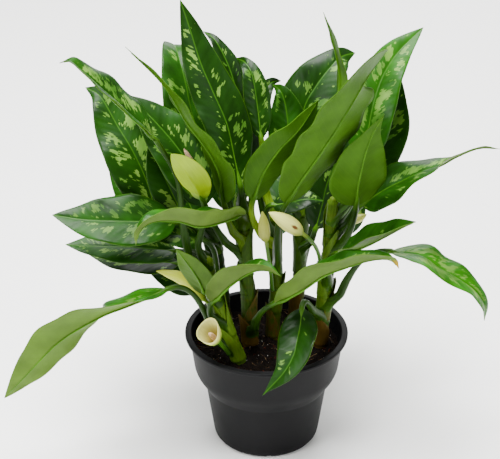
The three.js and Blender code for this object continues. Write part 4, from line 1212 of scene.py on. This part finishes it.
soil = {
    "edge": 75.6, "height": 105, "mound": 4, "foot": 60, "footInset": 0.2, "brim": 0.9,
    "rows": 110, "columns": 150, "waveHeight": 0.9, "roughness": 1.3, "lumpSize": 6,
    "colours": ("#050302", "#170d06"),
}
strewn = {
    "soil_crumbs": {"count": 900, "size": (0.5, 2.1), "flatness": 0.7,
                    "skin": ("peatCrumb", "#060403", "#1e1207")},
    "bark_bits": {"count": 60, "size": (2.0, 4.5), "flatness": 0.35,
                  "skin": ("barkChip", "#1a0a05", "#4a1e0e")},
    "white_grit": {"count": 75, "size": (0.35, 0.9), "flatness": 0.8,
                   "skin": ("perliteGrit", "#8d8a84", "#e2dfd8", 0.7)},
}
strewnStyle = {"inside": 75, "wallGap": 2, "narrowest": 0.6, "sunk": 0.2, "lumpFrequency": 900,
               "lumpHeight": 0.3, "sharpAngle": 50}
fibres = {
    "count": 130, "length": (5, 17), "radius": 0.22, "taper": 0.6, "above": 0.3, "slope": 0.15,
    "bow": 0.3, "lift": 0.8, "up": (0.1, 0.2, 1), "rows": 6, "sides": 4, "mergeGap": 0.005,
    "skin": ("dryRootFibre", "#5a4028", "#a08a6a", 0.8),
}
random = Random(7)


def soilTop(x, y):
    fall = 1 - (math.hypot(x, y) / soil["edge"]) ** 2
    waves = soil["waveHeight"] * (math.sin(0.31 * x + 0.17 * y) + math.sin(0.23 * y - 0.4 * x + 2))
    rough = soil["roughness"] * noise.fractal(Vector((x, y, 0)) / soil["lumpSize"], 0.6, 2.0, 5)
    return soil["height"] + soil["mound"] * fall + waves + rough


def buildSoil():
    bm = newShape()

    def place(outShare, aroundShare):
        angle = aroundShare * fullTurn
        radius = soil["edge"] * min(1.0, outShare / soil["brim"])
        x, y = radius * math.cos(angle), radius * math.sin(angle)
        height = soilTop(x, y)
        if outShare > soil["brim"]:
            below = (outShare - soil["brim"]) / (1 - soil["brim"])
            height = blended(height, soil["foot"], below)
            inside = 1 - soil["footInset"] * below
            x, y = x * inside, y * inside
        return Vector((x, y, height)) * mm, (x * mm, y * mm)

    bendGrid(bm, soil["rows"], soil["columns"], place)
    closeShape(bm)
    newPiece("soil_bed", bm, [peat("dampPeat", *soil["colours"])], ["soil"])


def strewnSpot(sink):
    inside = strewnStyle["inside"]
    while True:
        x, y = random.uniform(-inside, inside), random.uniform(-inside, inside)
        if math.hypot(x, y) < soil["edge"] - strewnStyle["wallGap"]:
            return Vector((x, y, soilTop(x, y) - sink)) * mm


def buildStrewn(name, kind):
    bm = bmesh.new()
    for _ in range(kind["count"]):
        size = random.uniform(*kind["size"]) * mm
        turn = Euler([random.uniform(0, looseTurn) for _ in range(3)]).to_matrix().to_4x4()
        width = random.uniform(strewnStyle["narrowest"], 1.0)
        shape = Matrix.Diagonal((size, size * width, size * kind["flatness"], 1))
        place = Matrix.Translation(strewnSpot(size / mm * strewnStyle["sunk"])) @ turn @ shape
        corners = bmesh.ops.create_icosphere(bm, subdivisions=1, radius=1, matrix=place)["verts"]
        for corner in corners:
            lump = noise.noise_vector(corner.co * strewnStyle["lumpFrequency"])
            corner.co += lump * size * strewnStyle["lumpHeight"]
    smoothShade(bm, strewnStyle["sharpAngle"])
    newPiece(name, bm, [peat(*kind["skin"])])


def buildFibres():
    bm = newShape()
    slope, bowing = fibres["slope"], fibres["bow"]
    for _ in range(fibres["count"]):
        turn, reach = random.uniform(0, looseTurn), random.uniform(*fibres["length"]) / 2 * mm
        middle = strewnSpot(-fibres["above"])
        heading = Vector((math.cos(turn), math.sin(turn), random.uniform(-slope, slope)))
        bow = Vector((-heading.y, heading.x, random.uniform(0, fibres["lift"])))
        bow *= random.uniform(-bowing, bowing)
        line = [middle - heading * reach, middle + bow * reach, middle + heading * reach]
        walk = Walk(smoothLine(line, fibres["rows"]))

        def place(alongShare, aroundShare):
            centre, along = walk.at(alongShare)
            radius = fibres["radius"] * (1 - fibres["taper"] * alongShare) * mm
            axes = crossAxes(along, Vector(fibres["up"]))
            return ringPoint(centre, *axes, aroundShare * fullTurn, radius), (0, 0)

        bendGrid(bm, fibres["rows"], fibres["sides"], place)
    closeShape(bm, fibres["mergeGap"] * mm)
    newPiece("root_fibres", bm, [peat(*fibres["skin"])])


buildSoil()
for name, kind in strewn.items():
    buildStrewn(name, kind)
buildFibres()
print("soil built")


# Stage: floor, soft boxes, camera

stage = {
    "floor": "#f7f7f5", "floorSize": 12, "floorRoughness": 0.9, "worldStrength": 0.3,
    "lights": {
        "overhead": {"place": (-0.2, -0.1, 2.2), "size": 1.5, "watts": 200},
        "frontLeft": {"place": (-1.7, -1.5, 1.6), "size": 1.4, "watts": 52},
        "frontRight": {"place": (1.8, -1.2, 1.1), "size": 1.4, "watts": 24},
        "behind": {"place": (0.3, 1.8, 1.3), "size": 1.6, "watts": 36},
    },
    "aim": (0, 0, 0.2),
    "camera": {"place": (-0.0172, -1.6961, 1.1848), "tilt": 61, "lens": 137.88, "sensor": 36},
}


def buildStage():
    bm = bmesh.new()
    bmesh.ops.create_grid(bm, x_segments=1, y_segments=1, size=stage["floorSize"] / 2)
    floor = inScene("floor", meshOf("floor", bm))
    material, _, shader = newMaterial("paperSweep", Roughness=stage["floorRoughness"])
    shader.inputs["Base Color"].default_value = linear(stage["floor"])
    floor.data.materials.append(material)
    world = bpy.data.worlds.new("studio")
    bpy.context.scene.world = world
    world.use_nodes = True
    world.node_tree.nodes["Background"].inputs["Color"].default_value = (1, 1, 1, 1)
    world.node_tree.nodes["Background"].inputs["Strength"].default_value = stage["worldStrength"]
    for name, light in stage["lights"].items():
        lamp = bpy.data.lights.new(name, "AREA")
        lamp.shape = "DISK"
        lamp.size = light["size"]
        lamp.energy = light["watts"]
        holder = inScene(name, lamp)
        holder.location = light["place"]
        aim = Vector(stage["aim"]) - holder.location
        holder.rotation_euler = aim.to_track_quat("-Z", "Y").to_euler()
    lens = bpy.data.cameras.new("camera")
    lens.lens = stage["camera"]["lens"]
    lens.sensor_width = stage["camera"]["sensor"]
    lens.sensor_fit = "HORIZONTAL"
    camera = inScene("camera", lens)
    camera.location = stage["camera"]["place"]
    camera.rotation_euler = (math.radians(stage["camera"]["tilt"]), 0, 0)
    bpy.context.scene.camera = camera


buildStage()
print("stage set")
